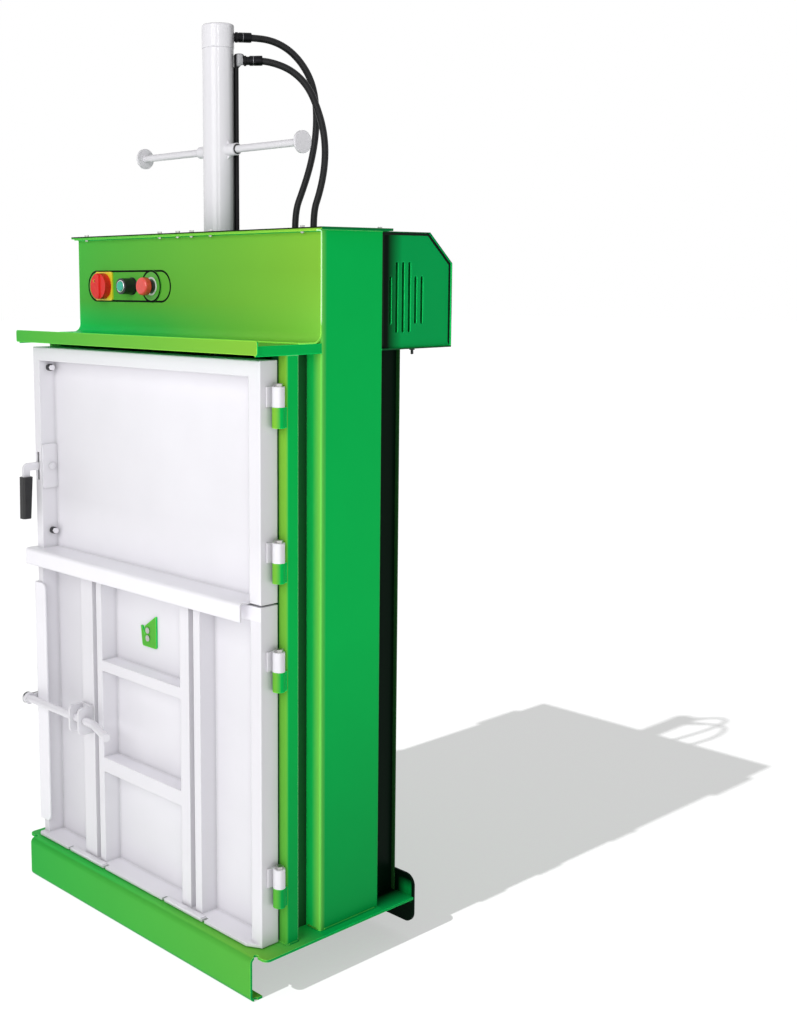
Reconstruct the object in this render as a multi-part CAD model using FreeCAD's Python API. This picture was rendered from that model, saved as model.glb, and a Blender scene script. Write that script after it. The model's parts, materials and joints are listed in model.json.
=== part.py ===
import FreeCAD, Part
import math
import os

from FreeCAD import Vector

# Vertical baler, standing on the floor, millimetres, +Z up.
# X runs across the front, +Y runs from the doors to the motor cover.
# The origin is on the floor, in the middle of the overall width and depth.

# ---------------------------------------------------------------- driving sizes
# shared by all pieces
over = 1.0
fit_clearance = 0.05
seat_gap = 0.3
near = 0.01

# press frame
frame_width = 830.0
column_width = 43.0
portal_depth = 172.0
column_wall = 4.0
column_corner = 5.0
roof_height = 1530.0
crosshead_depth = 237.0
crosshead_wall = 8.0
window_left_margin = 53.0
window_right_margin = 59.0
window_half = 45.0

# base
floor_height = 95.0
base_sheet = 5.0
base_overhang = 20.0
base_corner = 14.0
plate_proud = 25.0
web_proud = 15.0
web_inset = 10.0
web_bend = 8.0
lip_length = 32.0
relief_radius = 5.0
runner_offset = 150.0
runner_width = 44.0
runner_sheet = 4.0
runner_bend = 6.0
foot_low = 34.0
foot_rise = 49.0
foot_corner = 24.0

# chamber
chamber_sheet = 3.0
chamber_overhang = 90.0
back_overhang = 8.0
post_sheet = 3.0
post_bend = 3.0
post_face_reach = 93.0
post_flange = 30.0
ceiling_proud = 2.0

# header tray over the doors
header_overhang = 8.0
header_proud = 32.0
header_sheet = 3.0
header_lip_height = 27.0
header_lip_corner = 5.0
header_shelf_drop = 10.0

# control panel
panel_sheet = 3.0
panel_bend = 18.0
panel_top_flange = 15.0
panel_bottom_flange = 60.0
panel_top_bend = 2.0

# lid
lid_thickness = 5.0
lid_overhang = 15.0
lid_corner = 4.0
lid_screw_radius = 2.5
lid_screw_head_radius = 5.0
lid_screw_head_height = 4.0
lid_nut_radius = 4.0
lid_nut_height = 2.5
lid_screw_setback = 4.9
lid_screw_end = 1.0
lid_screw_inner = 24.0
lid_screw_middle = 88.0
lid_screw_inset = 45.0
lid_rear_inset = 20.0

# motor cover
cover_inset = 2.0
cover_depth = 214.0
cover_sheet = 2.0
cover_rim = 4.0
cover_chamfer_run = 71.0
cover_chamfer_drop = 63.0
cover_slot_first = 28.0
cover_slot_pitch = 19.0
cover_slot_count = 6
cover_slot_width = 8.0
cover_slot_drop_short = 90.0
cover_slot_short = 99.0
cover_slot_drop_long = 61.0
cover_slot_long = 145.0
cover_long_slots = (1, 2, 3)

# hydraulic cylinder
cylinder_setback = 87.0
barrel_radius = 34.0
bore_radius = 28.0
cap_radius = 35.0
cap_height = 50.0
cap_edge = 4.0
cylinder_rise = 448.0
gland_height = 50.0
flange_half = 72.0
flange_height = 18.0
flange_corner = 12.0
crown_play = 2.0
rod_way_play = 3.0
rod_radius = 20.0
piston_height = 28.0
piston_top_gap = 6.0

# strap holders on the barrel
holder_rise = 182.0
holder_rod_radius = 8.0
holder_sleeve_radius = 13.0
holder_sleeve_reach = 62.0
holder_reach = 264.0
holder_disc_radius = 23.0
holder_disc = 5.0
holder_gusset = 6.0
holder_gusset_half = 20.0
holder_gusset_reach = 50.0

# pipe, fittings and hoses
port_azimuth_upper = 60.0
port_azimuth_lower = 46.0
upper_port_drop = 25.0
lower_port_drop = 76.0
nipple_radius = 9.0
nipple_reach_upper = 51.0
nipple_reach_lower = 74.0
nipple_ring_radius = 11.0
nipple_ring = 5.0
nipple_ring_back_upper = 13.0
nipple_ring_back_lower = 18.0
pipe_azimuth = 46.0
pipe_offset = 39.5
pipe_radius = 5.0
elbow_radius = 11.0
elbow_height = 30.0
elbow_taper = 12.0
elbow_edge = 5.0
hose_radius = 7.5
union_radius = 11.0
union_height = 14.0
union_spigot_radius = 8.0
union_spigot_drop = 14.0
union_upper_reach = 171.0
union_lower_reach = 207.0

# press platen
platen_side_gap = 9.0
platen_front_gap = 5.0
platen_rear_gap = 12.0
platen_drop = 98.0
platen_plate = 20.0
platen_rib = 8.0
platen_rib_height = 55.0
platen_groove = 18.0
platen_groove_depth = 12.0
rod_seat_radius = 45.0
rod_seat_height = 30.0
platen_rib_inset = 20.0
platen_cross_rib = 60.0
platen_long_rib = 120.0

# doors
door_left_inset = 10.0
door_right_inset = 21.0
door_depth = 45.0
door_post_gap = 6.0
door_sheet = 3.0
door_floor_gap = 3.0
door_seam = 800.0
seam_gap = 4.0
upper_door_gap = 12.0
upper_left_stile = 26.0
upper_right_stile = 33.0
upper_top_rail = 31.0
door_edge = 2.5
ledge_sheet = 4.0
ledge_left_proud = 7.0
ledge_right_inset = 30.0
ledge_proud = 28.0
ledge_drop = 38.0
ledge_bend = 3.0
ledge_root = 10.0
lower_left_stile = 20.0
lower_right_stile = 30.0
lower_top_rail = 30.0
strap_left = -174.5
strap_right = 175.0
rib_left_outer = 52.5
rib_left_inner = 27.5
rib_right_outer = 29.0
rib_right_inner = 38.0
strap_width = 16.0
strap_depth = 30.0
rung_low_rise = 225.0
rung_low_height = 33.0
rung_high_drop = 241.0
rung_high_height = 24.0
sill_sheet = 6.0
sill_proud = 16.0
sill_notch = 8.0
sill_notch_depth = 14.0
sill_notch_left_outer = 99.5
sill_notch_left_inner = 42.5
sill_notch_right_outer = 51.0
sill_notch_right_inner = 86.0
sill_corner = 30.0
sill_left_corner = 6.0
sill_tab_play = 2.0
sill_tab_rise = 2.5
sill_tab_proud = 2.0
sill_tab_width = 15.0
sill_tab_corner = 2.5
sill_right_step = 2.0

# hinges
hinge_axis_gap = 10.0
barrel_outer = 12.5
barrel_gap = 1.8
pin_radius = 7.0
pin_head_radius = 9.0
pin_head = 6.0
knuckle_height = 40.0
knuckle_gap = 0.5
leaf_thickness = 3.5
leaf_length = 20.0
upper_hinge_drop = 90.0
upper_hinge_rise = 83.0
lower_hinge_drop = 131.0
lower_hinge_rise = 124.0
tongue_half = 8.0
pin_rise = 2.0

# upper door latch
latch_rise = 198.0
latch_axis_gap = 20.0
latch_bracket_thickness = 4.0
latch_bracket_half = 52.0
latch_bracket_corner = 6.0
latch_bracket_inset = 1.0
latch_bolt_radius = 5.0
latch_bolt_head_radius = 8.0
latch_bolt_head = 5.0
lever_thickness = 6.0
lever_inset = 12.0
lever_half_height = 9.0
lever_proud = 34.0
lever_hook_length = 42.0
lever_tooth = 9.0
lever_tooth_play = 3.6
lever_tail = 89.0
lever_corner = 14.0
lever_tooth_front = 4.0
lever_slot_play = 3.0
lever_slot_drop = 18.0
lever_slot_rise = 1.0
slit_half = 33.0
slit_play = 1.5
grip_top_width = 27.0
grip_bottom_width = 22.0
grip_side = 22.0
grip_length = 98.0
grip_edge = 4.0
grip_top_drop = 23.0
grip_lean = 4.0
stop_bolt_drop = 48.0
stop_bolt_rise = 44.0
stop_bolt_gap = 19.0
stop_bolt_radius = 6.5
stop_bolt_head = 8.0
stop_spacer_radius = 8.0
stop_spacer = 9.0

# lower door lock
lock_level = 437.0
lock_axis_proud = 24.0
lock_bar_radius = 9.0
lock_bend_gap = 15.0
lock_bend_radius = 100.0
lock_bend_angle = 18.0
lock_grip_length = 90.0
lock_arm_gap = 3.0
lock_arm = 12.0
lock_hub_radius = 14.0
lock_arm_half = 9.0
lock_arm_end = 12.0
lock_hook_height = 30.0
lock_hook_wall = 14.0
lock_bolt_radius = 8.0
lock_bolt_head = 5.0
keeper_radius = 6.0
keeper_setback = 13.0
keeper_drop = 17.0
keeper_plate = 2.5
keeper_plate_half = 16.0
keeper_plate_inset = 2.0
keeper_pin_end = 1.0
notch_play = 2.5
bracket_inset = 1.0
bracket_width = 41.0
bracket_sheet = 5.0
bracket_half = 32.0
bracket_proud = 18.0
bracket_corner = 12.0

# guard strip on the left stile
guard_proud = 9.0
guard_width = 42.0
guard_sheet = 4.0
guard_flange = 24.0
guard_rise = 37.0
guard_drop = 77.0
guard_corner = 14.0

# strap cutter
cutter_left = -50.0
cutter_drop = 168.0
cutter_sheet = 4.0
cutter_screw_radius = 4.0
cutter_screw_head = 3.0
cutter_screw_head_radius = 6.8
cutter_screw_inset = 22.0
cutter_screw_rises = (20.0, 37.5)
cutter_outline = (
    (0.0, 44.5), (5.5, 44.5), (13.5, 26.0), (13.5, 44.5), (53.0, 72.0), (56.0, 72.0),
    (56.0, 3.0), (53.0, 0.0), (8.0, 0.0), (5.5, 3.0))

# controls
control_drop = 110.0
isolator_inset = 106.0
isolator_plate_size = 66.0
isolator_plate_thickness = 4.0
isolator_plate_corner = 6.0
isolator_knob_radius = 30.0
isolator_knob_height = 17.0
isolator_grip_height = 3.0
isolator_grip_width = 16.0
isolator_grip_inset = 2.0
isolator_grip_corner = 5.0
isolator_shaft_radius = 4.0
isolator_shaft_depth = 6.0
shaft_hole_play = 1.0
switch_width = 34.0
switch_height = 46.0
switch_depth = 60.0
start_gap = 106.0
start_barrel_radius = 18.0
start_barrel_height = 32.0
start_button_radius = 11.0
start_button_proud = 3.0
start_well = 10.0
start_button_height = 7.0
button_stem_radius = 6.0
button_stem_depth = 10.0
button_stem_run = 10.0
stop_gap = 74.0
stop_disc_radius = 36.0
stop_disc = 2.0
stop_collar_radius = 15.0
stop_collar_height = 7.0
stop_button_radius = 20.0
stop_button_height = 16.0
stop_button_edge = 6.0
stop_button_gap = 7.0

# power pack under the motor cover
tray_sheet = 3.0
tray_bolt_inset = 25.0
tray_bolt_setback = 118.0
tray_bolt_radius = 3.0
tray_bolt_head_radius = 6.0
tray_bolt_head = 4.0
tray_bolt_end = 9.0
tank_side_gap = 13.0
tank_motor_gap = 55.0
tank_height = 150.0
tank_front_gap = 20.0
tank_rear_gap = 24.0
tank_corner = 10.0
tank_cap_setback = 50.0
tank_neck_radius = 22.0
tank_neck_height = 12.0
tank_cap_radius = 17.0
tank_cap_height = 10.0
motor_left = -170.0
motor_right = 20.0
motor_radius = 62.0
motor_setback = 113.0
motor_edge = 4.0
motor_foot = 14.0
motor_foot_inset = 30.0
motor_foot_half = 50.0
motor_foot_height = 45.0
motor_box_inset = 50.0
motor_box_half = 35.0
motor_box_rise = 22.0
motor_shaft_radius = 7.0
motor_shaft_end = 6.0
fan_radius = 52.0
fan_width = 16.0
fan_gap = 8.0
fan_hub_radius = 16.0
fan_blades = 6
fan_blade = 3.0
fan_blade_root = 4.0
pump_length = 55.0
pump_half = 38.0
pump_corner = 8.0
bell_length = 18.0
bell_radius = 50.0
valve_gap = 1.0
valve_width = 142.0
valve_height = 84.0
valve_setback = 22.0
valve_depth = 106.0

# ---------------------------------------------------------------- derived places
# widths
half_frame = frame_width / 2
chamber_half = half_frame - column_width
base_half = half_frame + base_overhang
web_half_width = half_frame - web_inset
header_half_width = half_frame + header_overhang
cover_half_width = half_frame - cover_inset
door_left = door_left_inset - half_frame
door_right = half_frame - door_right_inset
isolator_place = isolator_inset - half_frame
start_place = isolator_place + start_gap
stop_place = start_place + stop_gap
lever_centre = door_left + lever_inset
rib_left_start = strap_left - rib_left_outer
rib_left_end = strap_left + rib_left_inner
rib_right_start = strap_right - rib_right_inner
rib_right_end = strap_right + rib_right_outer
sill_notch_places = (
    strap_left - sill_notch_left_outer, strap_left + sill_notch_left_inner,
    strap_right - sill_notch_right_inner, strap_right + sill_notch_right_outer)
bracket_left = rib_left_start + bracket_inset
bracket_right = bracket_left + bracket_width
lock_arm_right = -half_frame - lock_arm_gap
lock_arm_left = lock_arm_right - lock_arm
lock_bend_start = bracket_right + lock_bend_gap
guard_left = door_left - guard_proud
guard_right = guard_left + guard_width
lid_screw_outer = half_frame - lid_screw_inset
lid_screw_places = (
    -lid_screw_outer, -lid_screw_middle, -lid_screw_inner,
    lid_screw_inner, lid_screw_middle, lid_screw_outer)
lid_rear_places = (lid_rear_inset - half_frame, half_frame - lid_rear_inset)

# distances ahead of the front face of the press frame
door_rear_reach = post_face_reach + door_post_gap
door_front_reach = door_rear_reach + door_depth
plate_front_reach = door_front_reach + plate_proud
web_reach = plate_front_reach + web_proud
lock_axis_reach = door_front_reach + lock_axis_proud
lock_run = math.radians(lock_bend_angle)
grip_rise = lock_bend_radius * (1 - math.cos(lock_run)) + lock_grip_length * math.sin(lock_run)
front_reach = lock_axis_reach + grip_rise + lock_bar_radius * math.cos(lock_run)
cover_reach = portal_depth + cover_depth

# places from front to back
portal_front = (front_reach - cover_reach) / 2
portal_rear = portal_front + portal_depth
chamber_rear = portal_rear + chamber_overhang
cylinder_y = portal_front + cylinder_setback
door_front = portal_front - door_front_reach
door_rear = portal_front - door_rear_reach
post_face = portal_front - post_face_reach
hinge_x = door_right + barrel_outer + barrel_gap
hinge_y = door_rear - hinge_axis_gap
latch_y = door_rear - latch_axis_gap
lock_y = portal_front - lock_axis_reach
keeper_y = post_face + keeper_setback
lid_screw_front = portal_front - lid_overhang + lid_screw_setback
lid_screw_rear = portal_rear + lid_overhang - lid_screw_setback

# heights
lid_top = roof_height + lid_thickness
crosshead_bottom = roof_height - crosshead_depth
cylinder_base = crosshead_bottom + crosshead_wall
tray_bottom = crosshead_bottom - tray_sheet
overall_height = roof_height + cylinder_rise
cap_bottom = overall_height - cap_height
upper_port_height = overall_height - upper_port_drop
lower_port_height = overall_height - lower_port_drop
holder_height = roof_height + holder_rise
control_level = roof_height - control_drop
platen_bottom = crosshead_bottom - platen_drop
door_bottom = floor_height + door_floor_gap
upper_door_bottom = door_seam + seam_gap
upper_door_top = crosshead_bottom - upper_door_gap
latch_level = upper_door_bottom + latch_rise
hinge_levels_upper = (upper_door_top - upper_hinge_drop, upper_door_bottom + upper_hinge_rise)
hinge_levels_lower = (door_seam - lower_hinge_drop, door_bottom + lower_hinge_rise)
stop_bolt_levels = (upper_door_top - stop_bolt_drop, upper_door_bottom + stop_bolt_rise)
rung_low_start = door_bottom + rung_low_rise
rung_low_end = rung_low_start + rung_low_height
rung_high_start = door_seam - rung_high_drop
rung_high_end = rung_high_start + rung_high_height
guard_low = door_bottom + guard_rise
guard_high = door_seam - guard_drop
cutter_low = door_seam - cutter_drop

nodes = {}


# ---------------------------------------------------------------- shape helpers
def block(x0, x1, y0, y1, z0, z1):
    return Part.makeBox(x1 - x0, y1 - y0, z1 - z0, Vector(x0, y0, z0))


def rod_x(x0, x1, y, z, radius):
    return Part.makeCylinder(radius, x1 - x0, Vector(x0, y, z), Vector(1, 0, 0))


def rod_y(x, y0, y1, z, radius):
    return Part.makeCylinder(radius, y1 - y0, Vector(x, y0, z), Vector(0, 1, 0))


def rod_z(x, y, z0, z1, radius):
    return Part.makeCylinder(radius, z1 - z0, Vector(x, y, z0))


def hexagon_z(x, y, z0, z1, radius):
    points = []
    for corner in range(7):
        angle = math.radians(60 * corner)
        points.append(Vector(x + radius * math.cos(angle), y + radius * math.sin(angle), z0))
    return Part.Face(Part.makePolygon(points)).extrude(Vector(0, 0, z1 - z0))


def hexagon_x(x0, x1, y, z, radius):
    points = []
    for corner in range(7):
        angle = math.radians(60 * corner)
        points.append(Vector(x0, y + radius * math.cos(angle), z + radius * math.sin(angle)))
    return Part.Face(Part.makePolygon(points)).extrude(Vector(x1 - x0, 0, 0))


def join(first, *others):
    result = first
    for other in others:
        result = result.fuse(other)
    return result.removeSplitter()


def cut(first, *others):
    result = first
    for other in others:
        result = result.cut(other)
    return result


def rounded(shape, radius, wanted):
    """Round the straight edges of a shape that the test picks by their midpoint."""
    picked = []
    for edge in shape.Edges:
        first = edge.Vertexes[0].Point
        last = edge.Vertexes[-1].Point
        if wanted(first, last):
            picked.append(edge)
    return shape.makeFillet(radius, picked)


def round_edges(shape, wanted=lambda centre: True):
    """The circles of a shape whose centre passes the test."""
    circles = [edge for edge in shape.Edges if edge.Curve.TypeId == "Part::GeomCircle"]
    return [edge for edge in circles if wanted(edge.CenterOfMass)]


def upright(first, last):
    return abs(first.x - last.x) < near and abs(first.y - last.y) < near


def along_x(first, last):
    return abs(first.z - last.z) < near and abs(first.y - last.y) < near


def along_y(first, last):
    return abs(first.x - last.x) < near and abs(first.z - last.z) < near


def folded_sheet(points, sheet, bend, place, direction):
    """Sheet folded along a line of its middle; place maps (a, b) to a point."""
    half = sheet / 2
    middle = bend + half
    left = []
    right = []
    count = len(points)
    for index in range(count - 1):
        a0, b0 = points[index]
        a1, b1 = points[index + 1]
        run = math.hypot(a1 - a0, b1 - b0)
        da = (a1 - a0) / run
        db = (b1 - b0) / run
        start = 0.0
        end = run
        turn = 0.0
        if index > 0:
            start = bend_setback(points, index, middle)
        if index < count - 2:
            end = run - bend_setback(points, index + 1, middle)
            turn = bend_turn(points, index + 1)
        for side, store in ((half, left), (-half, right)):
            first = (a0 + da * start - db * side, b0 + db * start + da * side)
            last = (a0 + da * end - db * side, b0 + db * end + da * side)
            store.append(("line", first, last))
        if index < count - 2:
            sign = 1.0 if turn > 0 else -1.0
            centre_a = a0 + da * end - db * middle * sign
            centre_b = b0 + db * end + da * middle * sign
            for side, store in ((half, left), (-half, right)):
                radius = middle - side * sign
                arc = []
                for part in (0.0, 0.5, 1.0):
                    angle = turn * part
                    ra = db * sign * math.cos(angle) + da * sign * math.sin(angle)
                    rb = -da * sign * math.cos(angle) + db * sign * math.sin(angle)
                    arc.append((centre_a + radius * ra, centre_b + radius * rb))
                store.append(("arc", arc[0], arc[1], arc[2]))
    edges = []
    for piece in left:
        edges.append(piece)
    edges.append(("line", left[-1][-1], right[-1][-1]))
    for piece in reversed(right):
        edges.append((piece[0],) + tuple(reversed(piece[1:])))
    edges.append(("line", right[0][1], left[0][1]))
    made = []
    for piece in edges:
        spots = [place(*spot) for spot in piece[1:]]
        if piece[0] == "line":
            made.append(Part.makeLine(spots[0], spots[1]))
        else:
            made.append(Part.Arc(spots[0], spots[1], spots[2]).toShape())
    wire = Part.Wire(Part.__sortEdges__(made))
    return Part.Face(wire).extrude(direction)


def bend_turn(points, index):
    a0, b0 = points[index - 1]
    a1, b1 = points[index]
    a2, b2 = points[index + 1]
    before = math.atan2(b1 - b0, a1 - a0)
    after = math.atan2(b2 - b1, a2 - a1)
    turn = after - before
    while turn > math.pi:
        turn -= 2 * math.pi
    while turn < -math.pi:
        turn += 2 * math.pi
    return turn


def bend_setback(points, index, middle):
    return middle * math.tan(abs(bend_turn(points, index)) / 2)


def mirrored(shape):
    return shape.mirror(Vector(0, 0, 0), Vector(1, 0, 0))


def keep(name, *solids):
    """Store one sub-part, a single solid or a group of equal solids."""
    pieces = []
    for solid in solids:
        pieces.extend(solid.Solids)
    nodes[name] = pieces[0] if len(pieces) == 1 else Part.makeCompound(pieces)


# ---------------------------------------------------------------- base
def make_base():
    plate_front = portal_front - plate_front_reach
    web_face = portal_front - web_reach
    middle = base_sheet / 2
    plate = block(
        -base_half, base_half, plate_front, chamber_rear, floor_height - base_sheet, floor_height)
    plate = rounded(plate, base_corner, lambda a, b: upright(a, b) and a.y < 0)
    profile = [
        (web_face + lip_length, middle),
        (web_face + middle, middle),
        (web_face + middle, floor_height - middle),
        (plate_front + lip_length, floor_height - middle),
    ]
    web = folded_sheet(
        profile, base_sheet, web_bend,
        lambda a, b: Vector(-web_half_width, a, b), Vector(2 * web_half_width, 0, 0))
    tray = join(plate, web)
    for side in (-1, 1):
        notch = rod_z(side * web_half_width, plate_front, 0, floor_height + over, relief_radius)
        tray = tray.cut(notch)
    keep("base_tray", tray)

    foot = block(
        -base_half, base_half, chamber_rear, chamber_rear + base_sheet,
        foot_low, floor_height + foot_rise)
    foot = rounded(foot, foot_corner, along_y)
    keep("rear_foot", foot)

    runners = []
    runner_start = web_face + lip_length
    for side in (-1, 1):
        centre = side * runner_offset
        inset = runner_sheet / 2
        reach = runner_width / 2 - inset
        top = floor_height - base_sheet - inset
        profile = [(centre - reach, 0), (centre - reach, top), (centre + reach, top), (centre + reach, 0)]
        runners.append(folded_sheet(
            profile, runner_sheet, runner_bend,
            lambda a, b: Vector(a, runner_start, b), Vector(0, chamber_rear - runner_start, 0)))
    keep("base_runners", *runners)


# ---------------------------------------------------------------- press frame
def make_frame():
    outer = block(chamber_half, half_frame, portal_front, portal_rear, floor_height, roof_height)
    outer = rounded(outer, column_corner, lambda a, b: upright(a, b) and a.x > chamber_half + over)
    inner = block(
        chamber_half + column_wall, half_frame - column_wall,
        portal_front + column_wall, portal_rear - column_wall,
        floor_height, roof_height)
    column = outer.cut(inner)
    keep("side_column_right", column)
    keep("side_column_left", mirrored(column))

    beam = block(-chamber_half, chamber_half, portal_front, portal_rear, crosshead_bottom, roof_height)
    hollow = block(
        -chamber_half, chamber_half,
        portal_front + crosshead_wall, portal_rear - crosshead_wall,
        crosshead_bottom + crosshead_wall, roof_height - crosshead_wall)
    window = block(
        isolator_place - window_left_margin, stop_place + window_right_margin,
        portal_front - over, portal_front + crosshead_wall + over,
        control_level - window_half, control_level + window_half)
    roof_low = roof_height - crosshead_wall - over
    roof_high = roof_height + over
    crown = rod_z(0, cylinder_y, roof_low, roof_high, barrel_radius + crown_play)
    pipe_x, pipe_y = around_cylinder(pipe_azimuth, pipe_offset)
    pipe_way = rod_z(pipe_x, pipe_y, roof_low, roof_high, pipe_radius + crown_play)
    rod_way = rod_z(0, cylinder_y, crosshead_bottom - over, cylinder_base + over, rod_radius + rod_way_play)
    keep("crosshead", cut(beam, hollow, window, crown, pipe_way, rod_way))


def around_cylinder(azimuth, reach):
    angle = math.radians(azimuth)
    return reach * math.cos(angle), cylinder_y + reach * math.sin(angle)


# ---------------------------------------------------------------- chamber
def make_chamber():
    front_edge = post_face + post_flange
    side = block(
        chamber_half - chamber_sheet, chamber_half,
        front_edge, chamber_rear - chamber_sheet,
        floor_height, tray_bottom)
    keep("chamber_side_right", side)
    keep("chamber_side_left", mirrored(side))
    back_half = chamber_half + back_overhang
    back = block(-back_half, back_half, chamber_rear - chamber_sheet, chamber_rear, floor_height, tray_bottom)
    keep("chamber_back", back)
    ceiling = block(
        -chamber_half, chamber_half, post_face - ceiling_proud + chamber_sheet, portal_rear,
        tray_bottom, crosshead_bottom)
    rod_way = rod_z(0, cylinder_y, tray_bottom - over, crosshead_bottom + over, rod_radius + rod_way_play)
    keep("chamber_ceiling", ceiling.cut(rod_way))

    inset = post_sheet / 2
    inner = chamber_half - chamber_sheet + inset
    outer = half_frame - inset
    face = post_face + inset
    rear = post_face + post_flange
    profile = [(inner, rear), (inner, face), (outer, face), (outer, rear)]
    post = folded_sheet(
        profile, post_sheet, post_bend,
        lambda a, b: Vector(a, b, floor_height), Vector(0, 0, tray_bottom - floor_height))
    keep("hinge_post", post)
    latch_post = mirrored(post)
    play = lever_thickness / 2 + lever_slot_play
    slot = block(
        lever_centre - play, lever_centre + play,
        post_face - over, post_face + post_sheet + over,
        latch_level - lever_half_height - lever_slot_drop,
        latch_level + lever_half_height + lever_slot_rise)
    keep("latch_post", latch_post.cut(slot))


# ---------------------------------------------------------------- header and panel
def make_header():
    lip_face = door_front - header_proud
    lip_top = crosshead_bottom + header_lip_height
    lip = block(
        -header_half_width, header_half_width, lip_face, lip_face + header_sheet,
        crosshead_bottom, lip_top)
    lip = rounded(lip, header_lip_corner, along_y)
    shelf_top = lip_top - header_shelf_drop
    shelf = block(
        -half_frame, half_frame, lip_face + header_sheet, portal_front,
        shelf_top - header_sheet, shelf_top)
    tray = join(lip, shelf)
    for side in (-1, 1):
        x0 = half_frame - header_sheet if side > 0 else -half_frame
        flange = block(
            x0, x0 + header_sheet, lip_face + header_sheet, portal_front,
            tray_bottom, shelf_top - header_sheet)
        tray = join(tray, flange)
    keep("header_tray", tray)

    inset = panel_sheet / 2
    middle = portal_front - inset
    profile = [
        (portal_front - panel_top_flange, roof_height - inset),
        (middle, roof_height - inset),
        (middle, shelf_top + inset),
        (middle - panel_bottom_flange, shelf_top + inset),
    ]
    face = folded_panel(profile)
    holes = []
    for place, radius in (
            (isolator_place, isolator_shaft_radius),
            (start_place, button_stem_radius),
            (stop_place, button_stem_radius)):
        holes.append(rod_y(
            place, portal_front - panel_sheet - over, portal_front + over, control_level,
            radius + shaft_hole_play))
    for place in lid_screw_places:
        holes.append(rod_z(
            place, lid_screw_front, roof_height - panel_sheet - over, roof_height + over,
            lid_screw_radius + fit_clearance))
    keep("control_panel", cut(face, *holes))


def folded_panel(profile):
    """Front sheet with a small bend at the top and a wide one at the foot."""
    place = lambda a, b: Vector(-half_frame, a, b)
    run = Vector(frame_width, 0, 0)
    split = (profile[1][0], (profile[1][1] + profile[2][1]) / 2)
    top = folded_sheet([profile[0], profile[1], split], panel_sheet, panel_top_bend, place, run)
    foot = folded_sheet([split, profile[2], profile[3]], panel_sheet, panel_bend, place, run)
    return join(top, foot)


# ---------------------------------------------------------------- lid and cover
def make_lid():
    half = half_frame + lid_overhang
    lid = block(-half, half, portal_front - lid_overhang, portal_rear + lid_overhang, roof_height, lid_top)
    lid = rounded(lid, lid_corner, upright)
    pipe_x, pipe_y = around_cylinder(pipe_azimuth, pipe_offset)
    holes = [
        rod_z(0, cylinder_y, roof_height - over, lid_top + over, barrel_radius + crown_play),
        rod_z(pipe_x, pipe_y, roof_height - over, lid_top + over, pipe_radius + crown_play),
    ]
    screws = []
    places = [(place, lid_screw_front, panel_sheet) for place in lid_screw_places]
    places += [(place, lid_screw_rear, cover_sheet) for place in lid_rear_places]
    for x, y, below in places:
        holes.append(rod_z(x, y, roof_height - over, lid_top + over, lid_screw_radius + fit_clearance))
        nut_top = roof_height - below
        nut_low = nut_top - lid_nut_height
        screws.append(join(
            hexagon_z(x, y, lid_top, lid_top + lid_screw_head_height, lid_screw_head_radius),
            rod_z(x, y, nut_low - lid_screw_end, lid_top, lid_screw_radius),
            hexagon_z(x, y, nut_low, nut_top, lid_nut_radius)))
    keep("top_lid", cut(lid, *holes))
    keep("lid_fasteners", *screws)


def cover_profile(inset, half_width):
    front = portal_rear
    rear = portal_front + cover_reach - inset
    top = roof_height - inset
    low = crosshead_bottom
    lean = inset * (math.hypot(cover_chamfer_run, cover_chamfer_drop) - cover_chamfer_run)
    lean = lean / cover_chamfer_drop
    points = [
        Vector(-half_width, front, low),
        Vector(-half_width, rear, low),
        Vector(-half_width, rear, top - cover_chamfer_drop + lean),
        Vector(-half_width, rear - cover_chamfer_run + lean, top),
        Vector(-half_width, front, top),
    ]
    points.append(points[0])
    return Part.Face(Part.makePolygon(points)).extrude(Vector(2 * half_width, 0, 0))


def make_cover():
    side_face = cover_half_width - cover_rim
    hollow = cover_profile(cover_sheet, side_face - cover_sheet)
    recess = cover_profile(cover_sheet, cover_half_width + over)
    recess = recess.cut(cover_profile(0, side_face))
    cover = cut(cover_profile(0, cover_half_width), hollow, recess)
    slots = []
    for index in range(cover_slot_count):
        y = portal_rear + cover_slot_first + index * cover_slot_pitch
        long_slot = index in cover_long_slots
        high = roof_height - (cover_slot_drop_long if long_slot else cover_slot_drop_short)
        low = high - (cover_slot_long if long_slot else cover_slot_short)
        half = cover_slot_width / 2
        body = block(-half_frame, half_frame, y - half, y + half, low + half, high - half)
        ends = [rod_x(-half_frame, half_frame, y, level, half) for level in (low + half, high - half)]
        slots.append(join(body, *ends))
    holes = []
    for azimuth, reach in ((port_azimuth_upper, union_upper_reach), (port_azimuth_lower, union_lower_reach)):
        x, y = around_cylinder(azimuth, reach)
        holes.append(rod_z(x, y, roof_height - cover_sheet - over, roof_height + over,
                           union_spigot_radius + fit_clearance))
    for x in lid_rear_places:
        holes.append(rod_z(x, lid_screw_rear, roof_height - cover_sheet - over, roof_height + over,
                           lid_screw_radius + fit_clearance))
    keep("motor_cover", cut(cover, *slots, *holes))

    tray = block(
        -cover_half_width, cover_half_width, portal_rear, portal_front + cover_reach,
        tray_bottom, crosshead_bottom)
    keep("motor_tray", tray)
    bolts = []
    bolt_place = cover_half_width - tray_bolt_inset
    for x in (-bolt_place, bolt_place):
        y = portal_rear + tray_bolt_setback
        head_low = tray_bottom - tray_bolt_head
        bolts.append(join(
            hexagon_z(x, y, head_low, tray_bottom, tray_bolt_head_radius),
            rod_z(x, y, head_low - tray_bolt_end, head_low, tray_bolt_radius)))
    keep("tray_bolts", *bolts)


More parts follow.
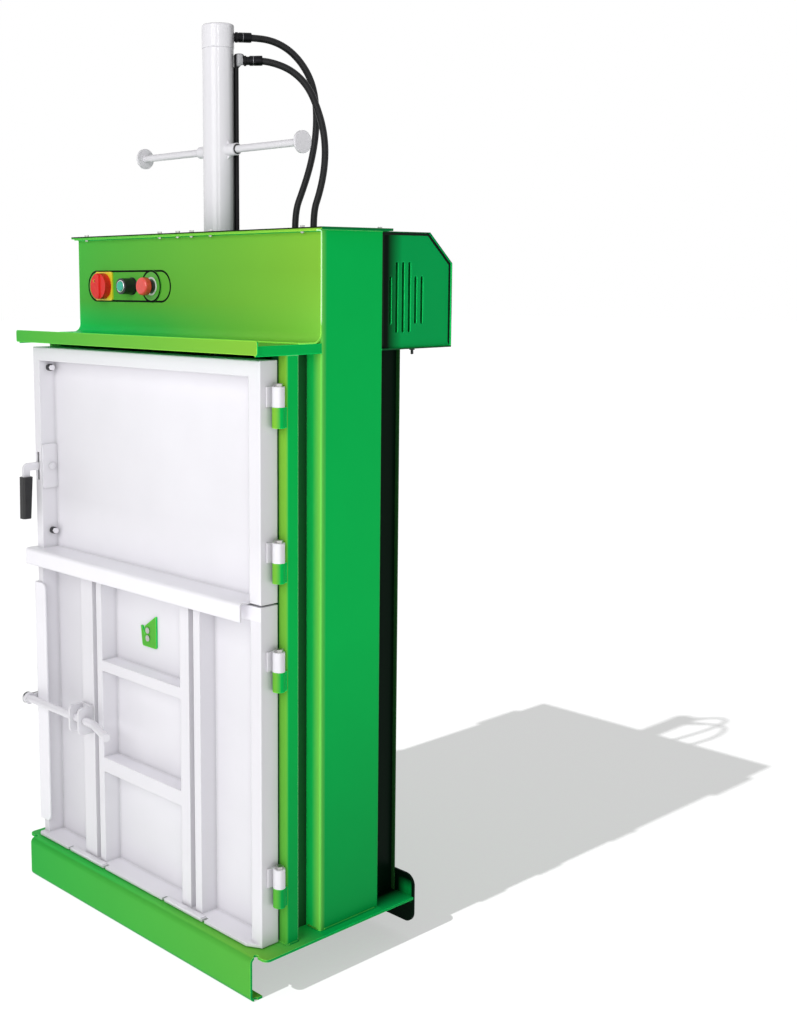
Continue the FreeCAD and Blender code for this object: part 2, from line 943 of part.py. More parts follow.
# ---------------------------------------------------------------- power pack
def make_power_pack():
    rear = portal_front + cover_reach
    tank_top = crosshead_bottom + tank_height
    tank_left = tank_side_gap - cover_half_width
    tank_right = motor_left - tank_motor_gap
    tank = block(
        tank_left, tank_right, portal_rear + tank_front_gap, rear - tank_rear_gap,
        crosshead_bottom, tank_top)
    tank = rounded(tank, tank_corner, upright)
    neck_x = (tank_left + tank_right) / 2
    neck_y = portal_rear + tank_front_gap + tank_cap_setback
    neck_top = tank_top + tank_neck_height
    keep("oil_tank", join(
        tank,
        rod_z(neck_x, neck_y, tank_top, neck_top, tank_neck_radius),
        rod_z(neck_x, neck_y, neck_top, neck_top + tank_cap_height, tank_cap_radius)))

    y = portal_rear + motor_setback
    z = crosshead_bottom + motor_foot + motor_radius
    body = rod_x(motor_left, motor_right, y, z, motor_radius)
    body = body.makeChamfer(motor_edge, round_edges(body))
    foot = block(
        motor_left + motor_foot_inset, motor_right - motor_foot_inset,
        y - motor_foot_half, y + motor_foot_half,
        crosshead_bottom, crosshead_bottom + motor_foot_height)
    box = block(
        motor_left + motor_box_inset, motor_right - motor_box_inset,
        y - motor_box_half, y + motor_box_half, z, z + motor_radius + motor_box_rise)
    fan_right = motor_left - fan_gap
    fan_left = fan_right - fan_width
    shaft = rod_x(fan_left - motor_shaft_end, motor_left + over, y, z, motor_shaft_radius)
    keep("motor", join(body, foot, box, shaft))

    blades = []
    for index in range(fan_blades):
        blade = block(
            fan_left, fan_right, y - fan_blade / 2, y + fan_blade / 2,
            z + fan_hub_radius - fan_blade_root, z + fan_radius)
        blade.rotate(Vector(0, y, z), Vector(1, 0, 0), 360.0 * index / fan_blades)
        blades.append(blade)
    fan = join(rod_x(fan_left, fan_right, y, z, fan_hub_radius), *blades)
    bore = rod_x(fan_left - over, fan_right + over, y, z, motor_shaft_radius + fit_clearance)
    keep("motor_fan", fan.cut(bore))

    pump_left = motor_right + bell_length
    bell = rod_x(motor_right, pump_left, y, z, bell_radius)
    pump = block(
        pump_left, pump_left + pump_length,
        y - pump_half, y + pump_half, z - pump_half, z + pump_half)
    keep("pump", join(rounded(pump, pump_corner, along_x), bell))

    valve_left = pump_left + pump_length + valve_gap
    valve_front = portal_rear + valve_setback
    keep("valve_block", block(
        valve_left, valve_left + valve_width, valve_front, valve_front + valve_depth,
        crosshead_bottom, crosshead_bottom + valve_height))


# ---------------------------------------------------------------- cylinder
def make_cylinder():
    barrel = rod_z(0, cylinder_y, cylinder_base + flange_height, cap_bottom, barrel_radius)
    flange = block(
        -flange_half, flange_half, cylinder_y - flange_half, cylinder_y + flange_half,
        cylinder_base, cylinder_base + flange_height)
    body = join(barrel, rounded(flange, flange_corner, upright))
    low = holder_height - holder_gusset_half
    high = holder_height + holder_gusset_half
    web_y = cylinder_y - holder_gusset / 2
    for side in (-1, 1):
        sleeve = rod_x(0, holder_sleeve_reach, cylinder_y, holder_height, holder_sleeve_radius)
        gusset = Part.Face(Part.makePolygon([
            Vector(0, web_y, low),
            Vector(barrel_radius, web_y, low),
            Vector(holder_gusset_reach, web_y, holder_height),
            Vector(barrel_radius, web_y, high),
            Vector(0, web_y, high),
            Vector(0, web_y, low)])).extrude(Vector(0, holder_gusset, 0))
        socket = rod_x(
            barrel_radius, holder_sleeve_reach + over, cylinder_y, holder_height,
            holder_rod_radius + fit_clearance)
        arm = join(sleeve, gusset).cut(socket)
        core = rod_z(0, cylinder_y, low - over, high + over, barrel_radius)
        arm = arm.cut(core)
        body = join(body, arm if side > 0 else mirrored(arm))
    bore = rod_z(0, cylinder_y, cylinder_base + gland_height, cap_bottom + over, bore_radius)
    rod_way = rod_z(0, cylinder_y, cylinder_base - over, cylinder_base + gland_height + over,
                    rod_radius + fit_clearance)
    keep("cylinder_barrel", cut(body, bore, rod_way))

    cap = rod_z(0, cylinder_y, cap_bottom, overall_height, cap_radius)
    rim = round_edges(cap, lambda centre: centre.z > overall_height - over)
    keep("cylinder_cap", cap.makeFillet(cap_edge, rim))

    piston_top = cap_bottom - piston_top_gap
    piston_low = piston_top - piston_height
    piston = rod_z(0, cylinder_y, piston_low, piston_top, bore_radius - fit_clearance)
    rod_low = platen_bottom + platen_plate + rod_seat_height
    rod = rod_z(0, cylinder_y, rod_low, piston_low, rod_radius)
    keep("piston_rod", join(piston, rod))

    rod = rod_x(barrel_radius + seat_gap, holder_reach, cylinder_y, holder_height, holder_rod_radius)
    disc = rod_x(holder_reach, holder_reach + holder_disc, cylinder_y, holder_height, holder_disc_radius)
    keep("strap_rod_right", join(rod, disc))
    keep("strap_rod_left", mirrored(join(rod, disc)))


# ---------------------------------------------------------------- platen
def make_platen():
    half = chamber_half - chamber_sheet - platen_side_gap
    front = post_face + platen_front_gap
    rear = chamber_rear - chamber_sheet - platen_rear_gap
    plate_top = platen_bottom + platen_plate
    plate = block(-half, half, front, rear, platen_bottom, plate_top)
    for x in (strap_left, strap_right):
        plate = plate.cut(block(
            x - platen_groove / 2, x + platen_groove / 2, front - over, rear + over,
            platen_bottom - over, platen_bottom + platen_groove_depth))
    ribs = []
    rib_top = plate_top + platen_rib_height
    left = platen_rib_inset - half
    right = half - platen_rib_inset
    fore = front + platen_rib_inset
    back = rear - platen_rib_inset
    for y in (fore, cylinder_y - platen_cross_rib, cylinder_y + platen_cross_rib, back - platen_rib):
        ribs.append(block(left, right, y, y + platen_rib, plate_top, rib_top))
    for x in (left, -platen_long_rib, platen_long_rib - platen_rib, right - platen_rib):
        ribs.append(block(x, x + platen_rib, fore, back, plate_top, rib_top))
    seat = rod_z(0, cylinder_y, plate_top, plate_top + rod_seat_height, rod_seat_radius)
    keep("press_platen", join(plate, seat, *ribs))


# ---------------------------------------------------------------- pipe, fittings, hoses
def make_fittings():
    x, y = around_cylinder(pipe_azimuth, pipe_offset)
    elbow_low = lower_port_height - elbow_height / 2
    pipe_low = cylinder_base + flange_height
    pipe = rod_z(x, y, pipe_low, elbow_low + over, pipe_radius)

    angle = math.radians(pipe_azimuth)
    along = Vector(math.cos(angle), math.sin(angle), 0)
    centre_reach = barrel_radius + seat_gap + elbow_radius
    centre_x, centre_y = around_cylinder(pipe_azimuth, centre_reach)
    waist = elbow_low + elbow_taper
    top = elbow_low + elbow_height
    dome = rod_z(centre_x, centre_y, waist, top, elbow_radius)
    dome = dome.makeFillet(elbow_edge, round_edges(dome, lambda centre: centre.z > top - over))
    taper = Part.makeLoft([
        Part.Wire(Part.makeCircle(pipe_radius, Vector(x, y, elbow_low))),
        Part.Wire(Part.makeCircle(elbow_radius, Vector(centre_x, centre_y, waist)))], True)
    start = Vector(0, cylinder_y, lower_port_height) + along * centre_reach
    nipple = Part.makeCylinder(nipple_radius, nipple_reach_lower - centre_reach, start, along)
    ring_reach = nipple_reach_lower - nipple_ring_back_lower
    ring_start = Vector(0, cylinder_y, lower_port_height) + along * ring_reach
    ring = Part.makeCylinder(nipple_ring_radius, nipple_ring, ring_start, along)
    keep("lower_fitting", join(dome, taper, nipple, ring, pipe))

    angle = math.radians(port_azimuth_upper)
    along = Vector(math.cos(angle), math.sin(angle), 0)
    start = Vector(0, cylinder_y, upper_port_height)
    nipple = Part.makeCylinder(nipple_radius, nipple_reach_upper, start, along)
    ring_reach = nipple_reach_upper - nipple_ring_back_upper
    ring_start = Vector(0, cylinder_y, upper_port_height) + along * ring_reach
    ring = Part.makeCylinder(nipple_ring_radius, nipple_ring, ring_start, along)
    core = rod_z(0, cylinder_y, cap_bottom, overall_height, cap_radius + seat_gap)
    keep("upper_fitting", join(nipple, ring).cut(core))

    unions = []
    for azimuth, reach in ((port_azimuth_upper, union_upper_reach), (port_azimuth_lower, union_lower_reach)):
        x, y = around_cylinder(azimuth, reach)
        head = hexagon_z(x, y, roof_height, roof_height + union_height, union_radius)
        spigot = rod_z(x, y, roof_height - union_spigot_drop, roof_height, union_spigot_radius)
        pipe = rod_z(x, y, crosshead_bottom + valve_height, roof_height, pipe_radius)
        unions.append(join(head, spigot, pipe))
    keep("hose_unions", *unions)


# Routes of the two hoses: (reach from the cylinder axis, height), chosen by hand.
upper_hose_route = (
    (nipple_reach_upper, upper_port_height),
    (84.0, upper_port_height),
    (121.0, 1948.0),
    (155.0, 1932.0),
    (183.0, 1906.0),
    (204.0, 1873.0),
    (215.0, 1838.0),
    (219.0, 1797.0),
    (218.0, 1755.0),
    (212.0, 1713.0),
    (202.0, 1671.0),
    (188.0, 1629.0),
    (union_upper_reach, 1584.0),
    (union_upper_reach, roof_height + union_height),
)
lower_hose_route = (
    (nipple_reach_lower, lower_port_height),
    (97.0, lower_port_height),
    (130.0, 1894.0),
    (158.0, 1881.0),
    (182.0, 1861.0),
    (200.0, 1836.0),
    (214.0, 1803.0),
    (225.0, 1768.0),
    (231.0, 1732.0),
    (232.0, 1696.0),
    (228.0, 1658.0),
    (219.0, 1618.0),
    (union_lower_reach, 1582.0),
    (union_lower_reach, roof_height + union_height),
)


def tube_along(points, radius):
    edges = []
    radii = []
    last = points[0]
    for index in range(1, len(points) - 1):
        before = points[index - 1] - points[index]
        after = points[index + 1] - points[index]
        turn = math.pi - before.getAngle(after)
        shorter = min(before.Length, after.Length)
        setback = 0.45 * shorter
        radii.append(setback / math.tan(turn / 2))
        before.normalize()
        after.normalize()
        start = points[index] + before * setback
        end = points[index] + after * setback
        bisector = before + after
        bisector.normalize()
        centre_gap = radii[-1] / math.cos(turn / 2)
        middle = points[index] + bisector * (centre_gap - radii[-1])
        edges.append(Part.makeLine(last, start))
        edges.append(Part.Arc(start, middle, end).toShape())
        last = end
    edges.append(Part.makeLine(last, points[-1]))
    path = Part.Wire(edges)
    direction = points[1] - points[0]
    circle = Part.Wire(Part.makeCircle(radius, points[0], direction))
    tube = path.makePipeShell([circle], True, False)
    return tube, path.Length, radii


def make_hoses():
    for name, azimuth, route in (
            ("hose_upper", port_azimuth_upper, upper_hose_route),
            ("hose_lower", port_azimuth_lower, lower_hose_route)):
        points = []
        for reach, height in route:
            x, y = around_cylinder(azimuth, reach)
            points.append(Vector(x, y, height))
        tube, length, radii = tube_along(points, hose_radius)
        keep(name, tube)
        expected = math.pi * hose_radius ** 2 * length
        print(name, "length %.1f" % length, "volume ratio %.4f" % (tube.Volume / expected),
              "least radius %.0f" % min(radii))
        print("  points", [(round(p.x, 1), round(p.y, 1), round(p.z, 1)) for p in points])


# ---------------------------------------------------------------- doors
def make_upper_door():
    inner_left = door_left + upper_left_stile
    inner_right = door_right - upper_right_stile
    inner_top = upper_door_top - upper_top_rail
    ledge_top = upper_door_bottom + ledge_sheet
    body = block(door_left, door_right, door_front, door_rear, upper_door_bottom, upper_door_top)
    body = rounded(body, door_edge, lambda a, b: a.y < door_front + near and b.y < door_front + near)
    recess = block(inner_left, inner_right, door_front - over, door_rear - door_sheet, ledge_top, inner_top)
    left_hollow = block(
        door_left + door_sheet, inner_left - door_sheet, door_front + door_sheet, door_rear + over,
        ledge_top, upper_door_top - door_sheet)
    right_hollow = block(
        inner_right + door_sheet, door_right - door_sheet, door_front + door_sheet, door_rear + over,
        ledge_top, upper_door_top - door_sheet)
    top_hollow = block(
        inner_left - door_sheet - over, inner_right + door_sheet + over,
        door_front + door_sheet, door_rear + over,
        inner_top + door_sheet, upper_door_top - door_sheet)
    slit_width = lever_thickness / 2 + slit_play
    slit = block(
        lever_centre - slit_width, lever_centre + slit_width,
        door_front - over, door_front + door_sheet + over,
        latch_level - slit_half, latch_level + slit_half)
    bolt_way = rod_x(
        inner_left - door_sheet - over, inner_left + over, latch_y, latch_level,
        latch_bolt_radius + fit_clearance)
    body = cut(body, recess, left_hollow, right_hollow, top_hollow, slit, bolt_way)
    ledge_front = door_front - ledge_proud
    ledge_left = door_left - ledge_left_proud
    ledge_right = door_right - ledge_right_inset
    inset = ledge_sheet / 2
    level = upper_door_bottom + inset
    ledge = folded_sheet(
        [(door_front + ledge_root, level), (ledge_front + inset, level),
         (ledge_front + inset, level + inset - ledge_drop)],
        ledge_sheet, ledge_bend,
        lambda a, b: Vector(ledge_left, a, b), Vector(ledge_right - ledge_left, 0, 0))
    keep("upper_door", join(body, ledge))


def make_lower_door():
    bay_low = door_bottom + sill_sheet
    bay_high = door_seam - lower_top_rail
    body = block(door_left, door_right, door_front, door_rear, door_bottom, door_seam)
    body = rounded(body, door_edge, lambda a, b: upright(a, b) and a.y < door_front + near)
    panel_face = door_rear - door_sheet
    bays = [
        (door_left + lower_left_stile, rib_left_start, bay_low, bay_high),
        (rib_right_end, door_right - lower_right_stile, bay_low, bay_high),
        (rib_left_end, rib_right_start, bay_low, rung_low_start),
        (rib_left_end, rib_right_start, rung_low_end, rung_high_start),
        (rib_left_end, rib_right_start, rung_high_end, bay_high),
    ]
    for x0, x1, z0, z1 in bays:
        body = body.cut(block(x0, x1, door_front - over, panel_face, z0, z1))
    for x in (strap_left, strap_right):
        body = body.cut(block(
            x - strap_width / 2, x + strap_width / 2, door_front - over, door_front + strap_depth,
            bay_low, door_seam + over))
    hollow_low = bay_low
    hollow_high = door_seam - door_sheet
    half = strap_width / 2 + door_sheet
    uprights = [
        (door_left + door_sheet, door_left + lower_left_stile - door_sheet),
        (rib_left_start + door_sheet, strap_left - half),
        (strap_left + half, rib_left_end - door_sheet),
        (rib_right_start + door_sheet, strap_right - half),
        (strap_right + half, rib_right_end - door_sheet),
        (door_right - lower_right_stile + door_sheet, door_right - door_sheet),
    ]
    for x0, x1 in uprights:
        body = body.cut(block(x0, x1, door_front + door_sheet, door_rear + over, hollow_low, hollow_high))
    for z0, z1 in ((rung_low_start, rung_low_end), (rung_high_start, rung_high_end)):
        body = body.cut(block(
            rib_left_end, rib_right_start, door_front + door_sheet, door_rear + over,
            z0 + door_sheet, z1 - door_sheet))
    sill_front = door_front - sill_proud
    sill = Part.Face(Part.makePolygon([
        Vector(door_left, door_rear, door_bottom),
        Vector(door_left, sill_front + sill_left_corner, door_bottom),
        Vector(door_left + sill_left_corner, sill_front, door_bottom),
        Vector(door_right - sill_corner, sill_front, door_bottom),
        Vector(door_right, door_front + sill_right_step, door_bottom),
        Vector(door_right, door_rear, door_bottom),
        Vector(door_left, door_rear, door_bottom)])).extrude(Vector(0, 0, sill_sheet))
    body = join(body, sill)
    for x in sill_notch_places:
        body = body.cut(block(
            x - sill_notch / 2, x + sill_notch / 2, sill_front - over, sill_front + sill_notch_depth,
            door_bottom - over, bay_low + over))
    for first, last in (sill_notch_places[:2], sill_notch_places[2:]):
        tab = block(
            first + sill_notch / 2 + sill_tab_play, last - sill_notch / 2 - sill_tab_play,
            sill_front - sill_tab_proud, sill_front - sill_tab_proud + sill_tab_width,
            door_bottom + sill_tab_rise, bay_low + sill_tab_rise)
        tab = rounded(tab, sill_tab_corner, lambda a, b: along_x(a, b) and a.y < sill_front)
        body = join(body, tab)
    keep("lower_door", body)


# ---------------------------------------------------------------- hinges
def make_hinges():
    frame_knuckles = []
    pins = []
    bore = pin_radius + fit_clearance
    for name, levels in (
            ("upper_door_knuckles", hinge_levels_upper),
            ("lower_door_knuckles", hinge_levels_lower)):
        door_knuckles = []
        for level in levels:
            top = level + knuckle_height
            low = level - knuckle_height
            way = rod_z(hinge_x, hinge_y, low - over, top + over, bore)
            barrel = rod_z(hinge_x, hinge_y, level + knuckle_gap, top, barrel_outer)
            leaf = block(
                door_right, door_right + leaf_thickness, hinge_y - leaf_length, hinge_y,
                level + knuckle_gap, top)
            door_knuckles.append(join(barrel, leaf).cut(way))
            barrel = rod_z(hinge_x, hinge_y, low, level, barrel_outer)
            tongue = block(hinge_x - tongue_half, half_frame, hinge_y, post_face, low, level)
            frame_knuckles.append(join(barrel, tongue).cut(way))
            pin = join(
                rod_z(hinge_x, hinge_y, low + pin_rise, top, pin_radius),
                hexagon_z(hinge_x, hinge_y, top, top + pin_head, pin_head_radius))
            pins.append(pin)
        keep(name, *door_knuckles)
    keep("frame_knuckles", *frame_knuckles)
    keep("hinge_pins", *pins)


# ---------------------------------------------------------------- upper latch
def make_latch():
    inner_left = door_left + upper_left_stile
    plate = block(
        inner_left, inner_left + latch_bracket_thickness,
        door_front + latch_bracket_inset, door_rear - door_sheet,
        latch_level - latch_bracket_half, latch_level + latch_bracket_half)
    plate = rounded(plate, latch_bracket_corner, lambda a, b: abs(a.x - b.x) > over)
    plate = plate.cut(rod_x(
        inner_left - over, inner_left + latch_bracket_thickness + over, latch_y, latch_level,
        latch_bolt_radius + fit_clearance))
    keep("latch_bracket", plate)

    head_x = inner_left + latch_bracket_thickness
    shank_end = door_left + door_sheet + seat_gap
    bolt = join(
        rod_x(shank_end, head_x, latch_y, latch_level, latch_bolt_radius),
        rod_x(head_x, head_x + latch_bolt_head, latch_y, latch_level, latch_bolt_head_radius))
    keep("latch_bolt", bolt)

    x0 = lever_centre - lever_thickness / 2
    front = door_front - lever_proud
    hook_end = latch_y + lever_hook_length
    flange_rear = post_face + post_sheet + lever_tooth_play
    arm = block(
        x0, x0 + lever_thickness, front, hook_end,
        latch_level - lever_half_height, latch_level + lever_half_height)
    tail = block(
        x0, x0 + lever_thickness, front - lever_half_height, front + lever_half_height,
        latch_level - lever_half_height - lever_tail, latch_level + lever_half_height)
    lever = join(arm, tail)
    lever = rounded(
        lever, lever_corner,
        lambda a, b: abs(a.x - b.x) > 1 and a.y < front - over and a.z > latch_level)
    lever = lever.cut(block(
        x0 - over, x0 + lever_thickness + over, post_face - lever_tooth_front, flange_rear,
        latch_level + lever_half_height - lever_tooth, latch_level + lever_half_height + over))
    lever = lever.cut(rod_x(x0 - over, x0 + lever_thickness + over, latch_y, latch_level,
                            latch_bolt_radius + fit_clearance))
    keep("latch_lever", lever)

    grip_top = latch_level - grip_top_drop
    grip_low = grip_top - grip_length
    grip = Part.makeLoft([
        grip_outline(front, grip_top, grip_top_width),
        grip_outline(front - grip_lean, grip_low, grip_bottom_width)], True, True)
    socket = block(
        x0 - seat_gap, x0 + lever_thickness + seat_gap, front - lever_half_height - seat_gap,
        front + lever_half_height + seat_gap,
        latch_level - lever_half_height - lever_tail - seat_gap, grip_top + over)
    keep("latch_grip", grip.cut(socket))

    bolts = []
    for level in stop_bolt_levels:
        y = door_rear - stop_bolt_gap
        spacer = rod_x(inner_left, inner_left + stop_spacer, y, level, stop_spacer_radius)
        start = inner_left + stop_spacer
        bolts.append(join(spacer, hexagon_x(start, start + stop_bolt_head, y, level, stop_bolt_radius)))
    keep("stop_bolts", *bolts)


def grip_outline(y, z, width):
    half = width / 2
    side = grip_side / 2
    x = lever_centre
    points = [
        Vector(x - side, y - half + grip_edge, z), Vector(x - side + grip_edge, y - half, z),
        Vector(x + side - grip_edge, y - half, z), Vector(x + side, y - half + grip_edge, z),
        Vector(x + side, y + half - grip_edge, z), Vector(x + side - grip_edge, y + half, z),
        Vector(x - side + grip_edge, y + half, z), Vector(x - side, y + half - grip_edge, z)]
    points.append(points[0])
    return Part.makePolygon(points)


# ---------------------------------------------------------------- lower lock
def make_lock():
    ears = []
    low = lock_level - bracket_half
    high = lock_level + bracket_half
    front = lock_y - bracket_proud
    for x0 in (bracket_left, bracket_right - bracket_sheet):
        ear = block(x0, x0 + bracket_sheet, front, door_front, low, high)
        ears.append(rounded(
            ear, bracket_corner, lambda a, b: abs(a.x - b.x) > 1 and a.y < front + over))
    base = block(bracket_left, bracket_right, door_front - bracket_sheet, door_front, low, high)
    bracket = join(base, *ears)
    way = rod_x(
        bracket_left - over, bracket_right + over, lock_y, lock_level, lock_bar_radius + fit_clearance)
    keep("lock_bracket", bracket.cut(way))

    start = Vector(lock_arm_left, lock_y, lock_level)
    bend = Vector(lock_bend_start, lock_y, lock_level)
    centre = Vector(lock_bend_start, lock_y - lock_bend_radius, lock_level)
    half_turn = lock_run / 2
    middle = centre + Vector(math.sin(half_turn), math.cos(half_turn), 0) * lock_bend_radius
    leave = centre + Vector(math.sin(lock_run), math.cos(lock_run), 0) * lock_bend_radius
    tip = leave + Vector(math.cos(lock_run), -math.sin(lock_run), 0) * lock_grip_length
    path = Part.Wire([
        Part.makeLine(start, bend), Part.Arc(bend, middle, leave).toShape(), Part.makeLine(leave, tip)])
    ring = Part.Wire(Part.makeCircle(lock_bar_radius, start, Vector(1, 0, 0)))
    bar = path.makePipeShell([ring], True, False)
    hub = rod_x(lock_arm_left, lock_arm_right, lock_y, lock_level, lock_hub_radius)
    arm_end = keeper_y + keeper_radius + lock_arm_end
    arm = block(
        lock_arm_left, lock_arm_right, lock_y, arm_end,
        lock_level - lock_arm_half, lock_level + lock_arm_half)
    head = block(
        lock_arm_left, lock_arm_right, keeper_y - keeper_radius - lock_hook_wall, arm_end,
        lock_level - lock_arm_half, lock_level - lock_arm_half + lock_hook_height)
    arm = join(hub, arm, head)
    notch = block(
        lock_arm_left - over, lock_arm_right + over,
        keeper_y - keeper_radius - notch_play, keeper_y + keeper_radius + notch_play,
        lock_level - lock_arm_half - over, lock_level - lock_arm_half + lock_hook_height - lock_hook_wall)
    keep("lock_bar", join(bar, arm.cut(notch)))
    keep("lock_end_bolt", rod_x(
        lock_arm_left - lock_bolt_head, lock_arm_left, lock_y, lock_level, lock_bolt_radius))

    keeper_z = lock_level - keeper_drop
    plate = block(
        -half_frame - keeper_plate, -half_frame, post_face + keeper_plate_inset, post_face + post_flange,
        keeper_z - keeper_plate_half, keeper_z + keeper_plate_half)
    pin = rod_x(lock_arm_left - keeper_pin_end, -half_frame, keeper_y, keeper_z, keeper_radius)
    keep("lock_keeper", join(plate, pin))


# ---------------------------------------------------------------- guard and cutter
def make_door_trim():
    face = door_front - guard_sheet
    strip = block(guard_left, guard_right, face, door_front, guard_low, guard_high)
    strip = rounded(strip, guard_corner, lambda a, b: along_y(a, b) and a.x > guard_left + over)
    flange = block(
        guard_left, guard_left + guard_sheet, face, door_front + guard_flange, guard_low, guard_high)
    flange = rounded(flange, guard_corner, lambda a, b: abs(a.x - b.x) > 1 and a.y > door_front)
    keep("guard_strip", join(strip, flange))

    panel_face = door_rear - door_sheet
    points = [Vector(cutter_left + run, panel_face, cutter_low + rise) for run, rise in cutter_outline]
    points.append(points[0])
    plate = Part.Face(Part.makePolygon(points)).extrude(Vector(0, -cutter_sheet, 0))
    plate_face = panel_face - cutter_sheet
    x = cutter_left + cutter_outline[-1][0] + cutter_screw_inset
    screws = []
    for rise in cutter_screw_rises:
        z = cutter_low + rise
        plate = plate.cut(rod_y(
            x, plate_face - over, panel_face + over, z, cutter_screw_radius + fit_clearance))
        screws.append(join(
            rod_y(x, plate_face, panel_face, z, cutter_screw_radius),
            rod_y(x, plate_face - cutter_screw_head, plate_face, z, cutter_screw_head_radius)))
    keep("strap_cutter", plate)
    keep("cutter_screws", *screws)


# ---------------------------------------------------------------- controls
def make_controls():
    face = portal_front - panel_sheet
    z = control_level
    make_isolator(face, z)

    sockets = []
    for x, radius, depth in (
            (isolator_place, isolator_shaft_radius, isolator_shaft_depth),
            (start_place, button_stem_radius, button_stem_depth + button_stem_run),
            (stop_place, button_stem_radius, button_stem_depth + button_stem_run)):
        body = block(
            x - switch_width / 2, x + switch_width / 2, portal_front, portal_front + switch_depth,
            z - switch_height / 2, z + switch_height / 2)
        socket = rod_y(x, portal_front - over, portal_front + depth + over, z, radius + fit_clearance)
        sockets.append(body.cut(socket))
    keep("switch_bodies", *sockets)

    x = start_place
    front = face - start_barrel_height
    collar = rod_y(x, front, face, z, start_barrel_radius)
    well = rod_y(x, front - over, front + start_well, z, start_button_radius + fit_clearance)
    way = rod_y(x, front, face + over, z, button_stem_radius + fit_clearance)
    start_collar = cut(collar, well, way)
    button_front = front - start_button_proud
    button_back = button_front + start_button_height
    button = rod_y(x, button_front, button_back, z, start_button_radius)
    stem = rod_y(x, button_back, portal_front + button_stem_depth, z, button_stem_radius)
    keep("start_button", join(button, stem))

    x = stop_place
    disc_face = face - stop_disc
    collar_face = disc_face - stop_collar_height
    way = rod_y(x, collar_face - over, face + over, z, button_stem_radius + fit_clearance)
    disc = rod_y(x, disc_face, face, z, stop_disc_radius)
    keep("stop_disc", disc.cut(way))
    collar = rod_y(x, collar_face, disc_face, z, stop_collar_radius)
    keep("button_collars", start_collar, collar.cut(way))
    head_back = collar_face - stop_button_gap
    head_front = head_back - stop_button_height
    head = rod_y(x, head_front, head_back, z, stop_button_radius)
    rim = round_edges(head, lambda centre: centre.y < head_front + over)
    head = head.makeFillet(stop_button_edge, rim)
    stem = rod_y(x, head_back, portal_front + button_stem_depth, z, button_stem_radius)
    keep("stop_button", join(head, stem))


def make_isolator(face, z):
    x = isolator_place
    half = isolator_plate_size / 2
    plate_face = face - isolator_plate_thickness
    plate = block(x - half, x + half, plate_face, face, z - half, z + half)
    plate = rounded(plate, isolator_plate_corner, along_y)
    way = rod_y(x, plate_face - over, face + over, z, isolator_shaft_radius + fit_clearance)
    keep("isolator_plate", plate.cut(way))

    knob_back = plate_face - seat_gap
    knob_face = knob_back - isolator_knob_height
    disc = rod_y(x, knob_face, knob_back, z, isolator_knob_radius)
    reach = isolator_knob_radius - isolator_grip_inset
    wing = block(
        x - isolator_grip_width / 2, x + isolator_grip_width / 2,
        knob_face - isolator_grip_height, knob_face, z - reach, z + reach)
    wing = rounded(wing, isolator_grip_corner, along_y)
    shaft = rod_y(x, knob_back, portal_front + isolator_shaft_depth, z, isolator_shaft_radius)
    keep("isolator_knob", join(disc, wing, shaft))



make_base()
make_frame()
make_chamber()
make_header()
make_lid()
make_cover()
make_power_pack()
make_cylinder()
make_platen()
make_fittings()
make_hoses()
make_upper_door()
make_lower_door()
make_hinges()
make_latch()
make_lock()
make_door_trim()
make_controls()

os.makedirs("parts", exist_ok=True)
for name, shape in nodes.items():
    if not shape.isValid():
        print("not valid:", name)
    shape.exportStep("parts/%s.step" % name)

whole = Part.makeCompound([shape for name, shape in nodes.items() if not name.startswith("hose_")])
box = whole.BoundBox
print("nodes", len(nodes), "solids", sum(len(shape.Solids) for shape in nodes.values()))
print("box x %.2f %.2f" % (box.XMin, box.XMax), "y %.2f %.2f" % (box.YMin, box.YMax))
print("box z %.2f %.2f" % (box.ZMin, box.ZMax))
print("portal front %.3f" % portal_front)
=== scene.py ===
import json
import math

import bmesh
import bpy
from mathutils import Matrix, Vector

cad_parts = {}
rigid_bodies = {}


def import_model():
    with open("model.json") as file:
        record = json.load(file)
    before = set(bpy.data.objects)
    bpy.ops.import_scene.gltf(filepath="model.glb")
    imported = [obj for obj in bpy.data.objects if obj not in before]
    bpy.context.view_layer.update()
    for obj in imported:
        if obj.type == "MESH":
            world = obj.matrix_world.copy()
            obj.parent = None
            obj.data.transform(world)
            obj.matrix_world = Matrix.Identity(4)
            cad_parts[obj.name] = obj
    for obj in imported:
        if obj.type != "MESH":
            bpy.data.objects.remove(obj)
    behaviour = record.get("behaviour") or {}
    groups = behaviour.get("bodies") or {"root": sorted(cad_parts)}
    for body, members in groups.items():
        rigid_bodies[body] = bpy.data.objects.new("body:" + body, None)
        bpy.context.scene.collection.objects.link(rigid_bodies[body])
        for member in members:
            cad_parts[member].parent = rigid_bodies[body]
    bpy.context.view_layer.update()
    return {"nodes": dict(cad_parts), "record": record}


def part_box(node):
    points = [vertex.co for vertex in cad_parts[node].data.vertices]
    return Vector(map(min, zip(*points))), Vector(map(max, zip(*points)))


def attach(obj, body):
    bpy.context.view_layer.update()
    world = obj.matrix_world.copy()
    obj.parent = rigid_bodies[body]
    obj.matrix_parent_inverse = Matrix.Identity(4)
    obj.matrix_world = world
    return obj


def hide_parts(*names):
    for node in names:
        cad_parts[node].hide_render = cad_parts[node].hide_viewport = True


# Looks of an upright baler: powder coated green press frame, white doors with latch and lock,
# white ram cylinder with two black hoses. Metres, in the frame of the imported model.

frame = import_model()
nodes = frame["nodes"]

# -------- view and light
camera_place = Vector((2.3652, -1.9721, 1.4355))
camera_azimuth = math.radians(48.63)
camera_pitch = math.radians(7.69)
camera_roll = math.radians(-0.21)
photo_width = 797
photo_height = 1024
focal_pixels = 1382.2
optical_centre = (258.5, 465.5)
sensor = 36.0
camera_reach = 100.0

